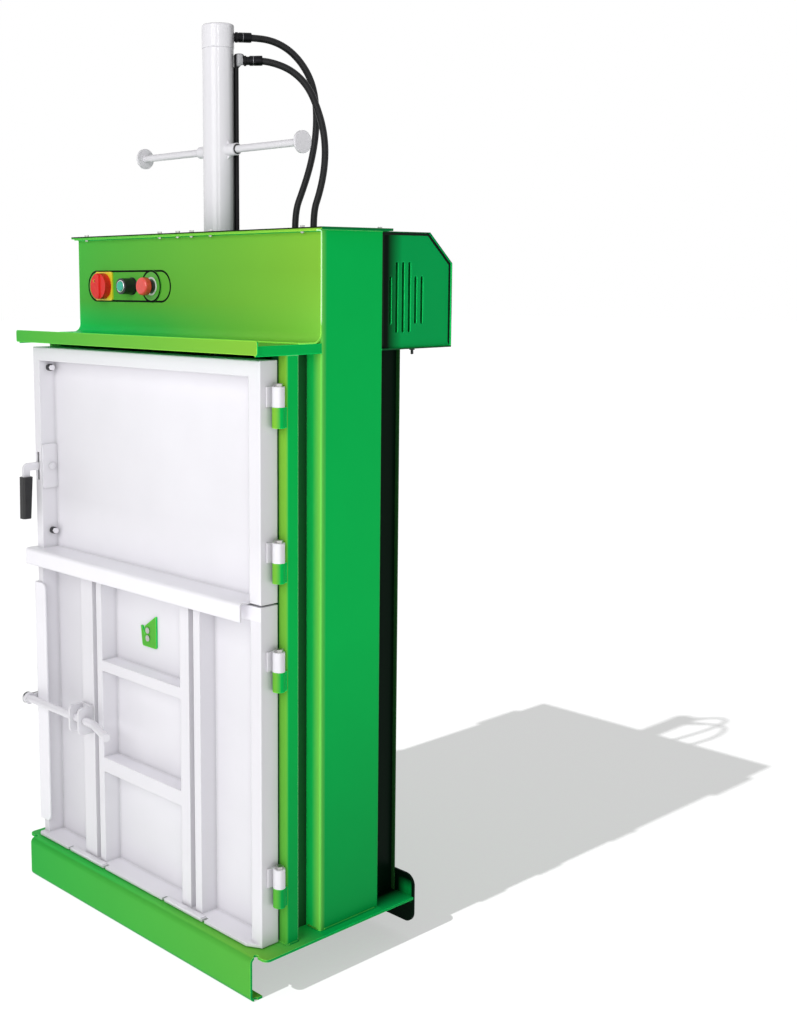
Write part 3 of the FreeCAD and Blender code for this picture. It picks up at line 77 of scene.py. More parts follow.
world_front = 0.35
world_back = 0.06
world_axis = Vector((0.0, -0.52, 0.85))
world_low = -0.4
world_high = 0.7
key_power = 51.0
key_place = Vector((1.0, -3.4, 2.7))
key_size = (2.2, 2.4)
edge_power = 22.0
edge_place = Vector((2.9, -2.3, 1.5))
edge_size = (0.45, 2.6)
aim = Vector((0.0, -0.05, 0.95))
floor_sun = 4.1
floor_sun_height = math.radians(45.0)
floor_sun_angle = math.radians(0.6)
floor_glow = 0.5
floor_reach = 40.0
floor_colour = (0.93, 0.93, 0.93)

# -------- colours
# frame greens, with painted shade on the sides by height and painted light in lime on forward faces
leaf = (0.001, 0.458, 0.077)
leaf_low = (0.001, 0.284, 0.055)
leaf_high = (0.001, 0.445, 0.077)
leaf_front = (0.004, 0.425, 0.062)
# painted light: brighter green toward the header's bend
leaf_bend_lit = (0.002, 0.690, 0.130)
# painted light: a bright front for the column, which the post shades, and lime painted highlights by
# its free edge
leaf_column_lit = (0.006, 0.960, 0.175)
lime_column_highlight = (0.340, 0.960, 0.120)
lime_highlight = (0.180, 0.500, 0.072)
# painted light on cut edges of the cover that look forward
leaf_lit_edge = (0.010, 0.660, 0.130)
lime = (0.228, 0.528, 0.045)
# painted shade: a darker green for the set-back motor cover
cover_leaf_shaded = (0.001, 0.350, 0.076)
leaf_shaded = (0.001, 0.007, 0.003)
# painted shade: deep green for the lid's right-facing ends, also used for its top
leaf_lid = (0.002, 0.150, 0.035)
# painted shade: dark green for the chamber wall seen between post and column
leaf_gap_shaded = (0.022, 0.190, 0.050)
# near black green: the painted shadow beside the column on the cover, the lid's upper edge, and the
# cover seals
leaf_near_black = (0.001, 0.005, 0.002)
# painted shadow in the gap between the doors and the hinge post
leaf_door_gap_shadow = (0.003, 0.110, 0.035)
# painted shade on the back's strips beyond the chamber sides
leaf_strip_shaded = (0.012, 0.060, 0.014)
leaf_rim = (0.006, 0.060, 0.020)
# painted light and shade on the floor plate: lime where most lit, greener to the left and toward the
# column
leaf_floor = (0.004, 0.560, 0.120)
lime_floor = (0.200, 0.600, 0.065)
leaf_floor_left = (0.050, 0.620, 0.090)
# painted light: lime toward the header's bend at the right
lime_bend_lit = (0.270, 0.700, 0.075)
# painted highlight: pale green for edges that catch the light
pale_highlight = (0.560, 0.900, 0.520)
door_white = (0.840, 0.826, 0.868)
# painted light: a brighter white for the guard strip, which sits in shade
guard_white_lit = (0.920, 0.905, 0.950)
cylinder_white = (0.780, 0.767, 0.804)
rod_white = (0.770, 0.757, 0.792)
hose_black = (0.008, 0.008, 0.009)
grip_black = (0.008, 0.008, 0.009)
switch_black = (0.022, 0.022, 0.025)
signal_red = (0.860, 0.024, 0.018)
stop_red = (0.900, 0.078, 0.060)
signal_yellow = (0.920, 0.760, 0.030)
start_green = (0.030, 0.520, 0.360)
label_green = (0.110, 0.470, 0.055)
line_black = (0.001, 0.002, 0.001)
line_white = (0.860, 0.870, 0.860)
motor_grey = (0.160, 0.175, 0.190)
cast_grey = (0.240, 0.245, 0.250)
zinc = (0.620, 0.620, 0.610)
zinc_dark = (0.420, 0.410, 0.390)
dark_steel = (0.040, 0.041, 0.044)
oxide_black = (0.006, 0.006, 0.007)
bolt_dark = (0.030, 0.030, 0.034)
# painted highlight on the bare end of the lock bar
bolt_highlight = (0.640, 0.640, 0.660)
# painted highlight in grey on the fitting's elbow end
elbow_highlight_grey = (0.420, 0.420, 0.440)
chrome_bright = (0.800, 0.810, 0.830)
steel_bright = (0.580, 0.590, 0.610)
crimp_black = (0.016, 0.016, 0.018)
crimp_grey = (0.200, 0.200, 0.210)

# -------- hoses
cylinder_low, cylinder_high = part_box("cylinder_cap")
cylinder_y = (cylinder_low.y + cylinder_high.y) / 2
hose_diameter = 0.015
hose_roundness = 6
hose_steps = 12
# where the painted highlight on the elbow end lies
elbow_face = 0.0525
elbow_bottom = 1.889
elbow_top = 1.917
elbow_depth = 0.013
elbow_fade = 0.004
elbow_foot_fade = 0.003
elbow_play = 0.001
upper_hose_azimuth = math.radians(60.0)
lower_hose_azimuth = math.radians(46.0)
toward_pipe = (math.cos(lower_hose_azimuth), math.sin(lower_hose_azimuth), 0.0)
# reach from the cylinder axis and height of each point of the route
upper_hose_route = (
    (0.051, 1.953), (0.084, 1.953), (0.121, 1.948), (0.155, 1.932), (0.183, 1.906),
    (0.204, 1.873), (0.215, 1.838), (0.219, 1.797), (0.218, 1.755), (0.212, 1.713),
    (0.202, 1.671), (0.188, 1.629), (0.171, 1.584), (0.171, 1.544),
)
lower_hose_route = (
    (0.074, 1.902), (0.097, 1.902), (0.130, 1.894), (0.158, 1.881), (0.182, 1.861),
    (0.200, 1.836), (0.214, 1.803), (0.225, 1.768), (0.231, 1.732), (0.232, 1.696),
    (0.228, 1.658), (0.219, 1.618), (0.207, 1.582), (0.207, 1.544),
)


# -------- shader helpers
noise_low = 0.3
noise_high = 0.7
even_grain = (1.0, 1.0, 1.0)
to_right = (1.0, 0.0, 0.0)
to_front = (0.0, -1.0, 0.0)
to_rear = (0.0, 1.0, 0.0)
to_sky = (0.0, 0.0, 1.0)
bevel_samples = 6
flat_likeness = 0.998
sharp_likeness = 0.88


def start_material(name):
    """A fresh material with one shader; returns the material, its tree and the shader."""
    material = bpy.data.materials.new(name)
    material.use_nodes = True
    tree = material.node_tree
    return material, tree, tree.nodes["Principled BSDF"]


def add(tree, kind, **values):
    node = tree.nodes.new(kind)
    for key, value in values.items():
        setattr(node, key, value)
    return node


def wire(tree, source, target):
    """Feeds a socket from another socket, or gives it a plain value."""
    if isinstance(source, bpy.types.NodeSocket):
        tree.links.new(source, target)
    else:
        target.default_value = source


def object_place(tree):
    return add(tree, "ShaderNodeTexCoord").outputs["Object"]


def split(tree, vector):
    """The X, Y and Z of a vector."""
    node = add(tree, "ShaderNodeSeparateXYZ")
    wire(tree, vector, node.inputs["Vector"])
    return node.outputs


def noise(tree, place, scale, detail=3.0, stretch=even_grain):
    mapping = add(tree, "ShaderNodeMapping")
    mapping.inputs["Scale"].default_value = stretch
    wire(tree, place, mapping.inputs["Vector"])
    texture = add(tree, "ShaderNodeTexNoise")
    texture.inputs["Scale"].default_value = scale
    texture.inputs["Detail"].default_value = detail
    wire(tree, mapping.outputs["Vector"], texture.inputs["Vector"])
    return texture.outputs["Fac"]


def spread(tree, value, low, high, new_low, new_high):
    """Maps low..high of a value onto new_low..new_high, clamped."""
    ramp = add(tree, "ShaderNodeMapRange")
    for socket, number in zip(ramp.inputs[1:5], (low, high, new_low, new_high)):
        socket.default_value = number
    wire(tree, value, ramp.inputs["Value"])
    return ramp.outputs["Result"]


def varied(tree, cloud, new_low, new_high):
    """Maps the middle range of a noise onto new_low..new_high."""
    return spread(tree, cloud, noise_low, noise_high, new_low, new_high)


def sums(tree, operation, first, second=0.0):
    node = add(tree, "ShaderNodeMath", operation=operation)
    wire(tree, first, node.inputs[0])
    wire(tree, second, node.inputs[1])
    return node.outputs["Value"]


def product(tree, first, *others):
    """All the values multiplied."""
    for other in others:
        first = sums(tree, "MULTIPLY", first, other)
    return first


def mixed(tree, factor, low, high):
    """Mixes two colours, each a tuple or a socket."""
    node = add(tree, "ShaderNodeMix", data_type="RGBA")
    wire(tree, factor, node.inputs[0])
    for socket, colour in ((node.inputs[6], low), (node.inputs[7], high)):
        wire(tree, (*colour, 1.0) if isinstance(colour, tuple) else colour, socket)
    return node.outputs[2]


def mottled(tree, cloud, low, high):
    """Mixes two colours by the middle range of a noise."""
    return mixed(tree, varied(tree, cloud, 0.0, 1.0), low, high)


def scaled(colour, share):
    return tuple(min(1.0, part * share) for part in colour)


def dot(tree, first, second):
    node = add(tree, "ShaderNodeVectorMath", operation="DOT_PRODUCT")
    wire(tree, first, node.inputs[0])
    wire(tree, second, node.inputs[1])
    return node.outputs["Value"]


def surface_normal(tree):
    return add(tree, "ShaderNodeNewGeometry").outputs["Normal"]


def facing(tree, direction, low=0.5, high=0.9):
    """Goes from 0 to 1 as the surface turns toward a direction."""
    return spread(tree, dot(tree, surface_normal(tree), direction), low, high, 0.0, 1.0)


def from_middle(tree, place):
    """Distance from the middle plane of the machine, to either side."""
    return sums(tree, "ABSOLUTE", split(tree, place)["X"])


def soft_normal(tree, radius):
    """A normal that rounds sharp edges."""
    bevel = add(tree, "ShaderNodeBevel", samples=bevel_samples)
    bevel.inputs["Radius"].default_value = radius
    return bevel.outputs["Normal"]


def edge_mask(tree, soft):
    """A mask that is 1 along edges, where the soft normal leaves the true one."""
    likeness = dot(tree, soft, surface_normal(tree))
    return spread(tree, likeness, flat_likeness, sharp_likeness, 0.0, 1.0)


def bumped(tree, shader, height, strength, distance, normal=None):
    bump = add(tree, "ShaderNodeBump")
    bump.inputs["Strength"].default_value = strength
    bump.inputs["Distance"].default_value = distance
    wire(tree, height, bump.inputs["Height"])
    if normal is not None:
        wire(tree, normal, bump.inputs["Normal"])
    wire(tree, bump.outputs["Normal"], shader.inputs["Normal"])


# -------- paint
peel_scale = 520.0
peel_depth = 0.00006
peel_strength = 0.35
dust_scale = 7.0
dust_shade = 0.015
dust_low = 0.35
dust_high = 0.75
dust_dull = 0.07
edge_radius = 0.0030
# painted highlight: how much edges brighten, and the pale painted highlight along edges, which can grow
# with height
edge_highlight_gain = 1.1
highlight_low = 0.3
highlight_share = 0.7
highlight_floor = 0.15
highlight_rise = 0.25
paint_gloss = 0.33
rear_gloss = 0.36
green_specular = 0.03
white_gloss = 0.30
white_specular = 0.35
# painted shade in tight inner corners, from an ambient occlusion lookup
crease_reach = 0.012
crease_dark = 0.35
crease_open = 0.95
crease_samples = 8
column_low, column_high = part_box("side_column_right")
header_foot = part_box("control_panel")[0].z
lid_low, lid_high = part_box("top_lid")
upper_door_low, upper_door_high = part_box("upper_door")
chamber_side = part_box("chamber_side_right")[1].x


def crease_shade(tree, reach, depth):
    """Painted shade in tight inner corners: goes from 1 on open faces down to 1 - depth there."""
    node = add(tree, "ShaderNodeAmbientOcclusion", samples=crease_samples)
    node.inputs["Distance"].default_value = reach
    return spread(tree, node.outputs["AO"], crease_dark, crease_open, 1.0 - depth, 1.0)


def powder_coat(
        name, colour, gain=edge_highlight_gain, gloss=paint_gloss, specular=green_specular,
        edge_highlight=None, highlight_from=None, crease_shade_depth=0.0):
    """Powder coat: fine orange peel, softly rounded edges, a little dust, and a painted highlight that
    brightens the edges; optionally a pale painted highlight along them and painted shade in tight
    inner corners. The colour is a plain one, or a function that makes it from the tree and the place."""
    material, tree, shader = start_material(name)
    place = object_place(tree)
    cloud = noise(tree, place, dust_scale, 4.0)
    shade = add(tree, "ShaderNodeHueSaturation")
    value = varied(tree, cloud, 1.0 - dust_shade, 1.0 + dust_shade)
    # painted shade darkens the colour in tight inner corners
    if crease_shade_depth > 0.0:
        value = product(tree, value, crease_shade(tree, crease_reach, crease_shade_depth))
    wire(tree, value, shade.inputs["Value"])
    sheet = colour(tree, place) if callable(colour) else (*colour, 1.0)
    wire(tree, sheet, shade.inputs["Color"])
    normal = soft_normal(tree, edge_radius)
    edge = edge_mask(tree, normal)
    # painted highlight that brightens the edges
    bright = add(tree, "ShaderNodeHueSaturation")
    wire(tree, shade.outputs["Color"], bright.inputs["Color"])
    wire(tree, spread(tree, edge, 0.0, 1.0, 1.0, 1.0 + gain), bright.inputs["Value"])
    coat = bright.outputs["Color"]
    # pale painted highlight along the edges, growing with height when a start height is given
    if edge_highlight is not None:
        highlight = spread(tree, edge, highlight_low, 1.0, 0.0, highlight_share)
        if highlight_from is not None:
            height = split(tree, place)["Z"]
            rise = spread(tree, height, highlight_from, highlight_from + highlight_rise, highlight_floor, 1.0)
            highlight = product(tree, highlight, rise)
        coat = mixed(tree, highlight, coat, edge_highlight)
    wire(tree, coat, shader.inputs["Base Color"])
    dull = spread(tree, cloud, dust_low, dust_high, gloss, gloss + dust_dull)
    wire(tree, dull, shader.inputs["Roughness"])
    shader.inputs["Specular IOR Level"].default_value = specular
    peel = noise(tree, place, peel_scale, 2.0)
    bumped(tree, shader, peel, peel_strength, peel_depth, normal)
    return material


# -------- green paint of the frame, with painted light and shade
front_and_up = (0.0, -0.8, 0.6)
forward_turn = (0.30, 0.78)
cut_edge_turn = (0.40, 0.70)
# painted light: how forward faces turn lime across the width and with height
warm_reach = 0.42
warm_left = 0.30
warm_height = 1.25
warm_floor = 0.40
# painted shade: how the sides darken toward the floor
leaf_full = 0.7
leaf_turns = 0.9
leaf_turned = 1.5
column_warmth = 0.04
# painted highlights on the column: the pale one grows from this height, the lime ones lie by the free
# edge
column_highlight_from = 0.80
glow_outer = 0.026
glow_inner = 0.009
glow_share = 0.80
side_glow_start = 0.001
side_glow_end = 0.013
side_glow_share = 0.70
# where the painted shadow beside the doors lies
gap_dark = 0.0035
gap_light = 0.0015
# painted light toward the header's bend, and a painted highlight on its right-facing cut edge
bend_radius = 0.004
leaf_bend_rise = 0.075
leaf_bend_across = (-0.40, 0.30)
leaf_bend_least = 0.12
lime_bend_rise = 0.140
lime_bend_across = (-0.10, 0.36)
lime_bend_most = 0.85
edge_highlight_start = 0.034
edge_highlight_end = 0.044
level_turn = (0.80, 0.95)
lid_blur = 0.0004


def looking_forward(tree):
    return facing(tree, front_and_up, *forward_turn)


def frame_green(tree, place, front_leaf=leaf_front, warmest=1.0):
    """Leaf green with painted light and shade: faces that look forward turn lime, more so to the right
    and top, and the sides darken toward the floor.
    """
    axes = split(tree, place)
    across = spread(tree, axes["X"], -warm_reach, warm_reach, warm_left * warmest, warmest)
    upward = spread(tree, axes["Z"], 0.0, warm_height, warm_floor, 1.0)
    # painted light in lime on forward faces
    front = mixed(tree, product(tree, across, upward), front_leaf, lime)
    # painted shade on the sides, darker toward the floor
    side = mixed(tree, spread(tree, axes["Z"], 0.0, leaf_full, 0.0, 1.0), leaf_low, leaf)
    top = spread(tree, axes["Z"], leaf_turns, leaf_turned, 0.0, 1.0)
    return mixed(tree, looking_forward(tree), mixed(tree, top, side, leaf_high), front)


def column_green(tree, place):
    """Bright leaf green as painted light on a front that the post shades, with a painted lime highlight
    on both sides of the free vertical edge.
    """
    base = frame_green(tree, place, leaf_column_lit, column_warmth)
    glow = spread(
        tree, from_middle(tree, place), column_high.x - glow_outer, column_high.x - glow_inner,
        0.0, glow_share)
    # painted lime highlight on the front by the free edge
    front = mixed(tree, product(tree, glow, looking_forward(tree)), base, lime_column_highlight)
    beside = spread(
        tree, split(tree, place)["Y"], column_low.y + side_glow_start, column_low.y + side_glow_end,
        side_glow_share, 0.0)
    # painted lime highlight on the side just behind the front
    return mixed(tree, product(tree, beside, facing(tree, to_right)), front, lime_highlight)


def post_green(tree, place):
    """Frame green, with painted shadow in the gap beside the doors."""
    side = upper_door_high.x
    gap = spread(tree, split(tree, place)["X"], side - gap_dark, side - gap_light, 1.0, 0.0)
    return mixed(tree, gap, frame_green(tree, place), leaf_door_gap_shadow)


def header_green(tree, place):
    """Lime web with painted light: brighter leaf green toward the bend at its foot at the left, paler
    lime at the right, and a painted highlight on the right-facing cut edge above the bend."""
    axes = split(tree, place)
    bend = header_foot + bend_radius
    low = spread(tree, axes["Z"], bend, header_foot + leaf_bend_rise, 1.0, 0.0)
    left = spread(tree, axes["X"], *leaf_bend_across, 1.0, leaf_bend_least)
    sheet = mixed(tree, product(tree, low, left), frame_green(tree, place), leaf_bend_lit)
    low = spread(tree, axes["Z"], bend, header_foot + lime_bend_rise, lime_bend_most, 0.0)
    right = spread(tree, axes["X"], *lime_bend_across, 0.0, 1.0)
    sheet = mixed(tree, product(tree, low, right), sheet, lime_bend_lit)
    straight = spread(
        tree, axes["Z"], header_foot + edge_highlight_start, header_foot + edge_highlight_end, 0.0, 1.0)
    return mixed(tree, product(tree, facing(tree, to_right), straight), sheet, pale_highlight)


def lid_green(tree, place):
    """Green sheet, near black along its upper edge; painted shade makes its right-facing ends deep
    green, and its top is the same deep green.
    """
    middle = (lid_low.z + lid_high.z) / 2
    upper = spread(tree, split(tree, place)["Z"], middle - lid_blur, middle + lid_blur, 0.0, 1.0)
    edge = mixed(tree, upper, frame_green(tree, place), leaf_near_black)
    # painted shade on the right-facing ends
    edge = mixed(tree, facing(tree, to_right), edge, leaf_lid)
    return mixed(tree, facing(tree, to_sky, *level_turn), edge, leaf_lid)


# -------- green paint at the rear and the foot, with painted light and shade
cover_low, cover_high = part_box("motor_cover")
tray_low, tray_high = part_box("base_tray")
wall_inset = 0.0015
wall_blur = 0.0010
# painted shadow of the column on the cover, measured back from the column's rear
column_shadow_start = 0.0194
column_shadow_end = 0.0624
# where the painted shade on the chamber side turns from dark green to near black
gap_reach = 0.050
gap_least = 0.30
inward_turn = (-0.20, -0.10)
# painted light across the floor plate, and a painted shadow in the corner behind the column
lime_floor_across = (-0.10, 0.42)
floor_front = 0.02
corner_blur = 0.002
corner_start = 0.010
corner_end = 0.005
# where the painted light on the foot plate lies, measured from its sides, top and foot
foot_glow_inner = (0.045, 0.024)
foot_glow_outer = (0.008, 0.004)
foot_glow_top = (0.012, 0.032)
foot_glow_low = (0.045, 0.055)


def beyond_wall(tree, place, wall):
    """Goes from 0 to 1 just inside a wall at a distance from the middle plane."""
    inner = wall - wall_inset
    return spread(tree, from_middle(tree, place), inner, inner + wall_blur, 0.0, 1.0)


def cover_colour(tree, place):
    """Cover green darkened as painted shade, with a painted shadow beside the column, dark on the rim,
    and painted light on cut edges that look forward."""
    rear = column_high.y
    # painted shadow of the column on the cover
    seam = spread(tree, split(tree, place)["Y"], rear + column_shadow_start, rear + column_shadow_end, 0.0, 1.0)
    sheet = mixed(tree, seam, leaf_near_black, cover_leaf_shaded)
    rim = product(tree, beyond_wall(tree, place, cover_high.x), facing(tree, to_right))
    sheet = mixed(tree, rim, sheet, leaf_rim)
    # painted light on forward-looking cut edges
    return mixed(tree, facing(tree, front_and_up, *cut_edge_turn), sheet, leaf_lit_edge)


def shaded_green(tree, place):
    """Painted shade: near black outside toward the rear, dark green where the wall shows between post
    and column; frame green inside the chamber."""
    axes = split(tree, place)
    front = column_low.y
    ahead = product(
        tree,
        spread(tree, axes["Y"], front - gap_reach, front, 1.0, gap_least),
        spread(tree, axes["Y"], front, front + gap_reach, 1.0, 0.0))
    outside = mixed(tree, ahead, leaf_shaded, leaf_gap_shaded)
    inward = product(tree, split(tree, surface_normal(tree))["X"], axes["X"])
    inside = spread(tree, inward, *inward_turn, 1.0, 0.0)
    return mixed(tree, inside, outside, frame_green(tree, place))


def back_green(tree, place):
    """Frame green; painted shade darkens the strips beyond the chamber sides, save their rear faces."""
    green = frame_green(tree, place)
    strip = mixed(tree, facing(tree, to_rear), leaf_strip_shaded, green)
    return mixed(tree, beyond_wall(tree, place, chamber_side), green, strip)


def tray_green(tree, place):
    """Frame green; on the floor plate, painted light turns from lime at its front right corner to leaf
    green, and a painted shadow darkens the corner behind the column."""
    axes = split(tree, place)
    right = spread(tree, axes["X"], *lime_floor_across, 0.0, 1.0)
    front = mixed(tree, right, leaf_floor_left, lime_floor)
    toward_column = spread(tree, axes["Y"], tray_low.y + floor_front, column_low.y, 0.0, 1.0)
    plate = mixed(tree, toward_column, front, leaf_floor)
    rear = column_high.y
    fade_start, fade_end = chamber_side + corner_start, tray_high.x - corner_end
    # painted shadow of the column in the corner of the floor plate
    corner = product(
        tree,
        spread(tree, axes["Y"], rear - corner_blur, rear + corner_blur, 0.0, 1.0),
        beyond_wall(tree, place, chamber_side),
        spread(tree, from_middle(tree, place), fade_start, fade_end, 1.0, 0.0))
    plate = mixed(tree, corner, plate, leaf_shaded)
    return mixed(tree, facing(tree, to_sky, *level_turn), frame_green(tree, place), plate)


def foot_colour(tree, place):
    """Foot plate in near black painted shade, with a green painted patch of light where light comes
    past the base plate.
    """
    low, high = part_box("rear_foot")
    side = from_middle(tree, place)
    height = split(tree, place)["Z"]
    glow = product(
        tree,
        spread(tree, side, *(high.x - reach for reach in foot_glow_inner), 0.0, 1.0),
        spread(tree, side, *(high.x - reach for reach in foot_glow_outer), 1.0, 0.0),
        spread(tree, height, *(high.z - reach for reach in foot_glow_top), 0.0, 1.0),
        spread(tree, height, *(low.z + reach for reach in foot_glow_low), 0.0, 1.0),
        facing(tree, to_front))
    return mixed(tree, glow, leaf_shaded, leaf_low)


# -------- white paint, with painted light and shade
door_dim = scaled(door_white, 0.985)
# painted shade and painted light on the door white
door_left_shade = scaled(door_white, 0.89)
door_low_lit = scaled(door_white, 1.11)
door_ledge_lit = scaled(door_white, 1.12)
door_side_left_shade = scaled(door_white, 0.90)
door_side_right_shade = scaled(door_white, 0.80)
cylinder_shade = scaled(cylinder_white, 0.30)
door_gain = 0.20
# depth of the painted shade in inner corners of the doors and the guard
door_crease_shade = 0.22
guard_crease_shade = 0.20
door_grain = 3.0
door_left_across = (-0.40, 0.05)
door_side_across = (0.10, 0.35)
door_side_turn = (0.80, 0.98)
# where the painted light above the seam of the upper door lies
ledge_shade = 0.003
ledge_glow = (0.03, 0.16)
bolt_length = 0.0055
bolt_blur = 0.0005
bolt_turn = (0.80, 0.97)
pipe_turn = (0.72, 0.99)
enamel_specular = 0.45
graze_specular = 0.02
graze_range = (0.70, 0.95)


def door_colour(tree, place):
    """White with painted light and shade: greyer to the left and on faces that look right, brighter
    on ledges and faces that look up, and low on the upper door."""
    axes = split(tree, place)
    sheet = mottled(tree, noise(tree, place, door_grain, 2.0), door_dim, door_white)
    # painted shade to the left
    sheet = mixed(tree, spread(tree, axes["X"], *door_left_across, 1.0, 0.0), sheet, door_left_shade)
    seam = upper_door_low.z
    above = product(
        tree,
        spread(tree, axes["Z"], seam, seam + ledge_shade, 0.0, 1.0),
        spread(tree, axes["Z"], *(seam + rise for rise in ledge_glow), 1.0, 0.0))
    # painted light low on the upper door
    sheet = mixed(tree, above, sheet, door_low_lit)
    right = spread(tree, axes["X"], *door_side_across, 0.0, 1.0)
    side = mixed(tree, right, door_side_left_shade, door_side_right_shade)
    # painted shade on faces that look right
    sheet = mixed(tree, facing(tree, to_right, *door_side_turn), sheet, side)
    # painted light on faces that look up
    return mixed(tree, facing(tree, to_sky), sheet, door_ledge_lit)


def lock_colour(tree, place):
    """White bar; its left end is bare dark steel with a painted highlight where it looks forward."""
    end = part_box("lock_bar")[0].x + bolt_length
    bare = spread(tree, split(tree, place)["X"], end, end + bolt_blur, 1.0, 0.0)
    highlight_band = facing(tree, to_front, *bolt_turn)
    return mixed(tree, bare, door_colour(tree, place), mixed(tree, highlight_band, bolt_dark, bolt_highlight))


def cylinder_colour(tree, place):
    """White enamel, shaded beside the pipe."""
    return mixed(tree, facing(tree, toward_pipe, *pipe_turn), cylinder_white, cylinder_shade)


def make_cylinder_white():
    """Gloss enamel that mirrors less where the view grazes it."""
    material = powder_coat(
        "white_gloss_enamel", cylinder_colour, gain=0.10, gloss=0.10, specular=enamel_specular)
    tree = material.node_tree
    graze = add(tree, "ShaderNodeLayerWeight")
    level = spread(tree, graze.outputs["Facing"], *graze_range, enamel_specular, graze_specular)
    wire(tree, level, tree.nodes["Principled BSDF"].inputs["Specular IOR Level"])
    return material


# -------- metals
steel_grain = 300.0
metal_edge = 0.0006
along_bar = (1.0, 1.0, 0.15)
across_bar = (0.1, 1.0, 1.0)
cap_length = 0.0070
cap_blur = 0.0004


def dulled(tree, shader, cloud, low, high):
    """Lets the roughness vary with a noise."""
    wire(tree, varied(tree, cloud, low, high), shader.inputs["Roughness"])


def plain_metal(name, colour, roughness, grain=steel_grain, stretch=even_grain):
    material, tree, shader = start_material(name)
    place = object_place(tree)
    shader.inputs["Metallic"].default_value = 1.0
    cloud = noise(tree, place, 45.0, detail=4.0)
    wire(tree, mottled(tree, cloud, scaled(colour, 0.86), colour), shader.inputs["Base Color"])
    lines = noise(tree, place, grain, stretch=stretch)
    dulled(tree, shader, lines, roughness, roughness + 0.12)
    bumped(tree, shader, lines, strength=0.25, distance=0.00004, normal=soft_normal(tree, metal_edge))
    return material


def make_zinc():
    """Zinc plating with its small flakes."""
    material, tree, shader = start_material("zinc_plated_steel")
    place = object_place(tree)
    shader.inputs["Metallic"].default_value = 1.0
    flakes = add(tree, "ShaderNodeTexVoronoi")
    flakes.inputs["Scale"].default_value = 420.0
    wire(tree, place, flakes.inputs["Vector"])
    wire(tree, mixed(tree, flakes.outputs["Distance"], zinc_dark, zinc), shader.inputs["Base Color"])
    cloud = noise(tree, place, 120.0)
    dulled(tree, shader, cloud, 0.26, 0.42)
    bumped(tree, shader, cloud, strength=0.20, distance=0.00003, normal=soft_normal(tree, 0.0005))
    return material


def make_stop_bolt():
    """Black rubber buffer against the door wall with a white cap on its end."""
    material, tree, shader = start_material("stop_bolt_paint")
    place = object_place(tree)
    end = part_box("stop_bolts")[1].x - cap_length
    half = cap_blur / 2
    cap = spread(tree, split(tree, place)["X"], end - half, end + half, 0.0, 1.0)
    wire(tree, mixed(tree, cap, switch_black, door_white), shader.inputs["Base Color"])
    cloud = noise(tree, place, steel_grain)
    dulled(tree, shader, cloud, 0.30, 0.42)
    bumped(tree, shader, cloud, strength=0.20, distance=0.00003, normal=soft_normal(tree, metal_edge))
    return material


def make_fitting():
    """Black oxide fittings and pipe, with a painted highlight in grey on the elbow end."""
    material, tree, shader = start_material("black_oxide_fitting")
    place = object_place(tree)
    shift = add(tree, "ShaderNodeVectorMath", operation="SUBTRACT")
    wire(tree, place, shift.inputs[0])
    shift.inputs[1].default_value = (0.0, cylinder_y, 0.0)
    reach = dot(tree, shift.outputs["Vector"], toward_pipe)
    height = split(tree, place)["Z"]
    inner = elbow_face - elbow_depth
    outer, top = elbow_face + elbow_play, elbow_top + elbow_play
    elbow = product(
        tree,
        spread(tree, reach, inner, inner + elbow_fade, 0.0, 1.0),
        spread(tree, reach, outer, outer + elbow_play, 1.0, 0.0),
        spread(tree, height, elbow_bottom, elbow_bottom + elbow_foot_fade, 0.0, 1.0),
        spread(tree, height, top, top + elbow_play, 1.0, 0.0))
    wire(tree, mixed(tree, elbow, oxide_black, elbow_highlight_grey), shader.inputs["Base Color"])
    grain = noise(tree, place, 260.0)
    dulled(tree, shader, grain, 0.42, 0.56)
    shader.inputs["Specular IOR Level"].default_value = 0.16
    bumped(tree, shader, grain, strength=0.25, distance=0.00005, normal=soft_normal(tree, 0.0008))
    return material


def make_cast():
    material, tree, shader = start_material("cast_metal")
    place = object_place(tree)
    shader.inputs["Metallic"].default_value = 0.6
    grain = noise(tree, place, 380.0, detail=6.0)
    wire(tree, mottled(tree, grain, scaled(cast_grey, 0.7), cast_grey), shader.inputs["Base Color"])
    dulled(tree, shader, grain, 0.45, 0.65)
    bumped(tree, shader, grain, strength=0.50, distance=0.0002, normal=soft_normal(tree, 0.0012))
    return material


# -------- plastics and rubber
mould_grain = 1600.0
mould_edge = 0.0009


def moulded(name, colour, roughness, relief, specular=0.45):
    """Moulded plastic with a fine mould grain."""
    material, tree, shader = start_material(name)
    place = object_place(tree)
    cloud = noise(tree, place, 60.0)
    wire(tree, mottled(tree, cloud, scaled(colour, 0.90), colour), shader.inputs["Base Color"])
    dulled(tree, shader, cloud, roughness, roughness + 0.06)
    shader.inputs["Specular IOR Level"].default_value = specular
    grain = noise(tree, place, mould_grain, detail=2.0)
    bumped(tree, shader, grain, strength=0.30, distance=relief, normal=soft_normal(tree, mould_edge))
    return material


def ripples(tree, place, direction, scale, distortion):
    """Fine bands across a direction."""
    bands = add(tree, "ShaderNodeTexWave", bands_direction=direction)
    bands.inputs["Scale"].default_value = scale
    bands.inputs["Distortion"].default_value = distortion
    wire(tree, place, bands.inputs["Vector"])
    return bands.outputs["Fac"]


def make_grip_rubber():
    """Rubber grip with fine ribs along its length."""
    material, tree, shader = start_material("grip_rubber")
    place = object_place(tree)
    cloud = noise(tree, place, 90.0)
    tone = mottled(tree, cloud, scaled(grip_black, 0.8), scaled(grip_black, 1.5))
    wire(tree, tone, shader.inputs["Base Color"])
    dulled(tree, shader, cloud, 0.42, 0.56)
    ribs = ripples(tree, place, "X", scale=55.0, distortion=0.4)
    bumped(tree, shader, ribs, strength=0.25, distance=0.0004, normal=soft_normal(tree, 0.0016))
    return material


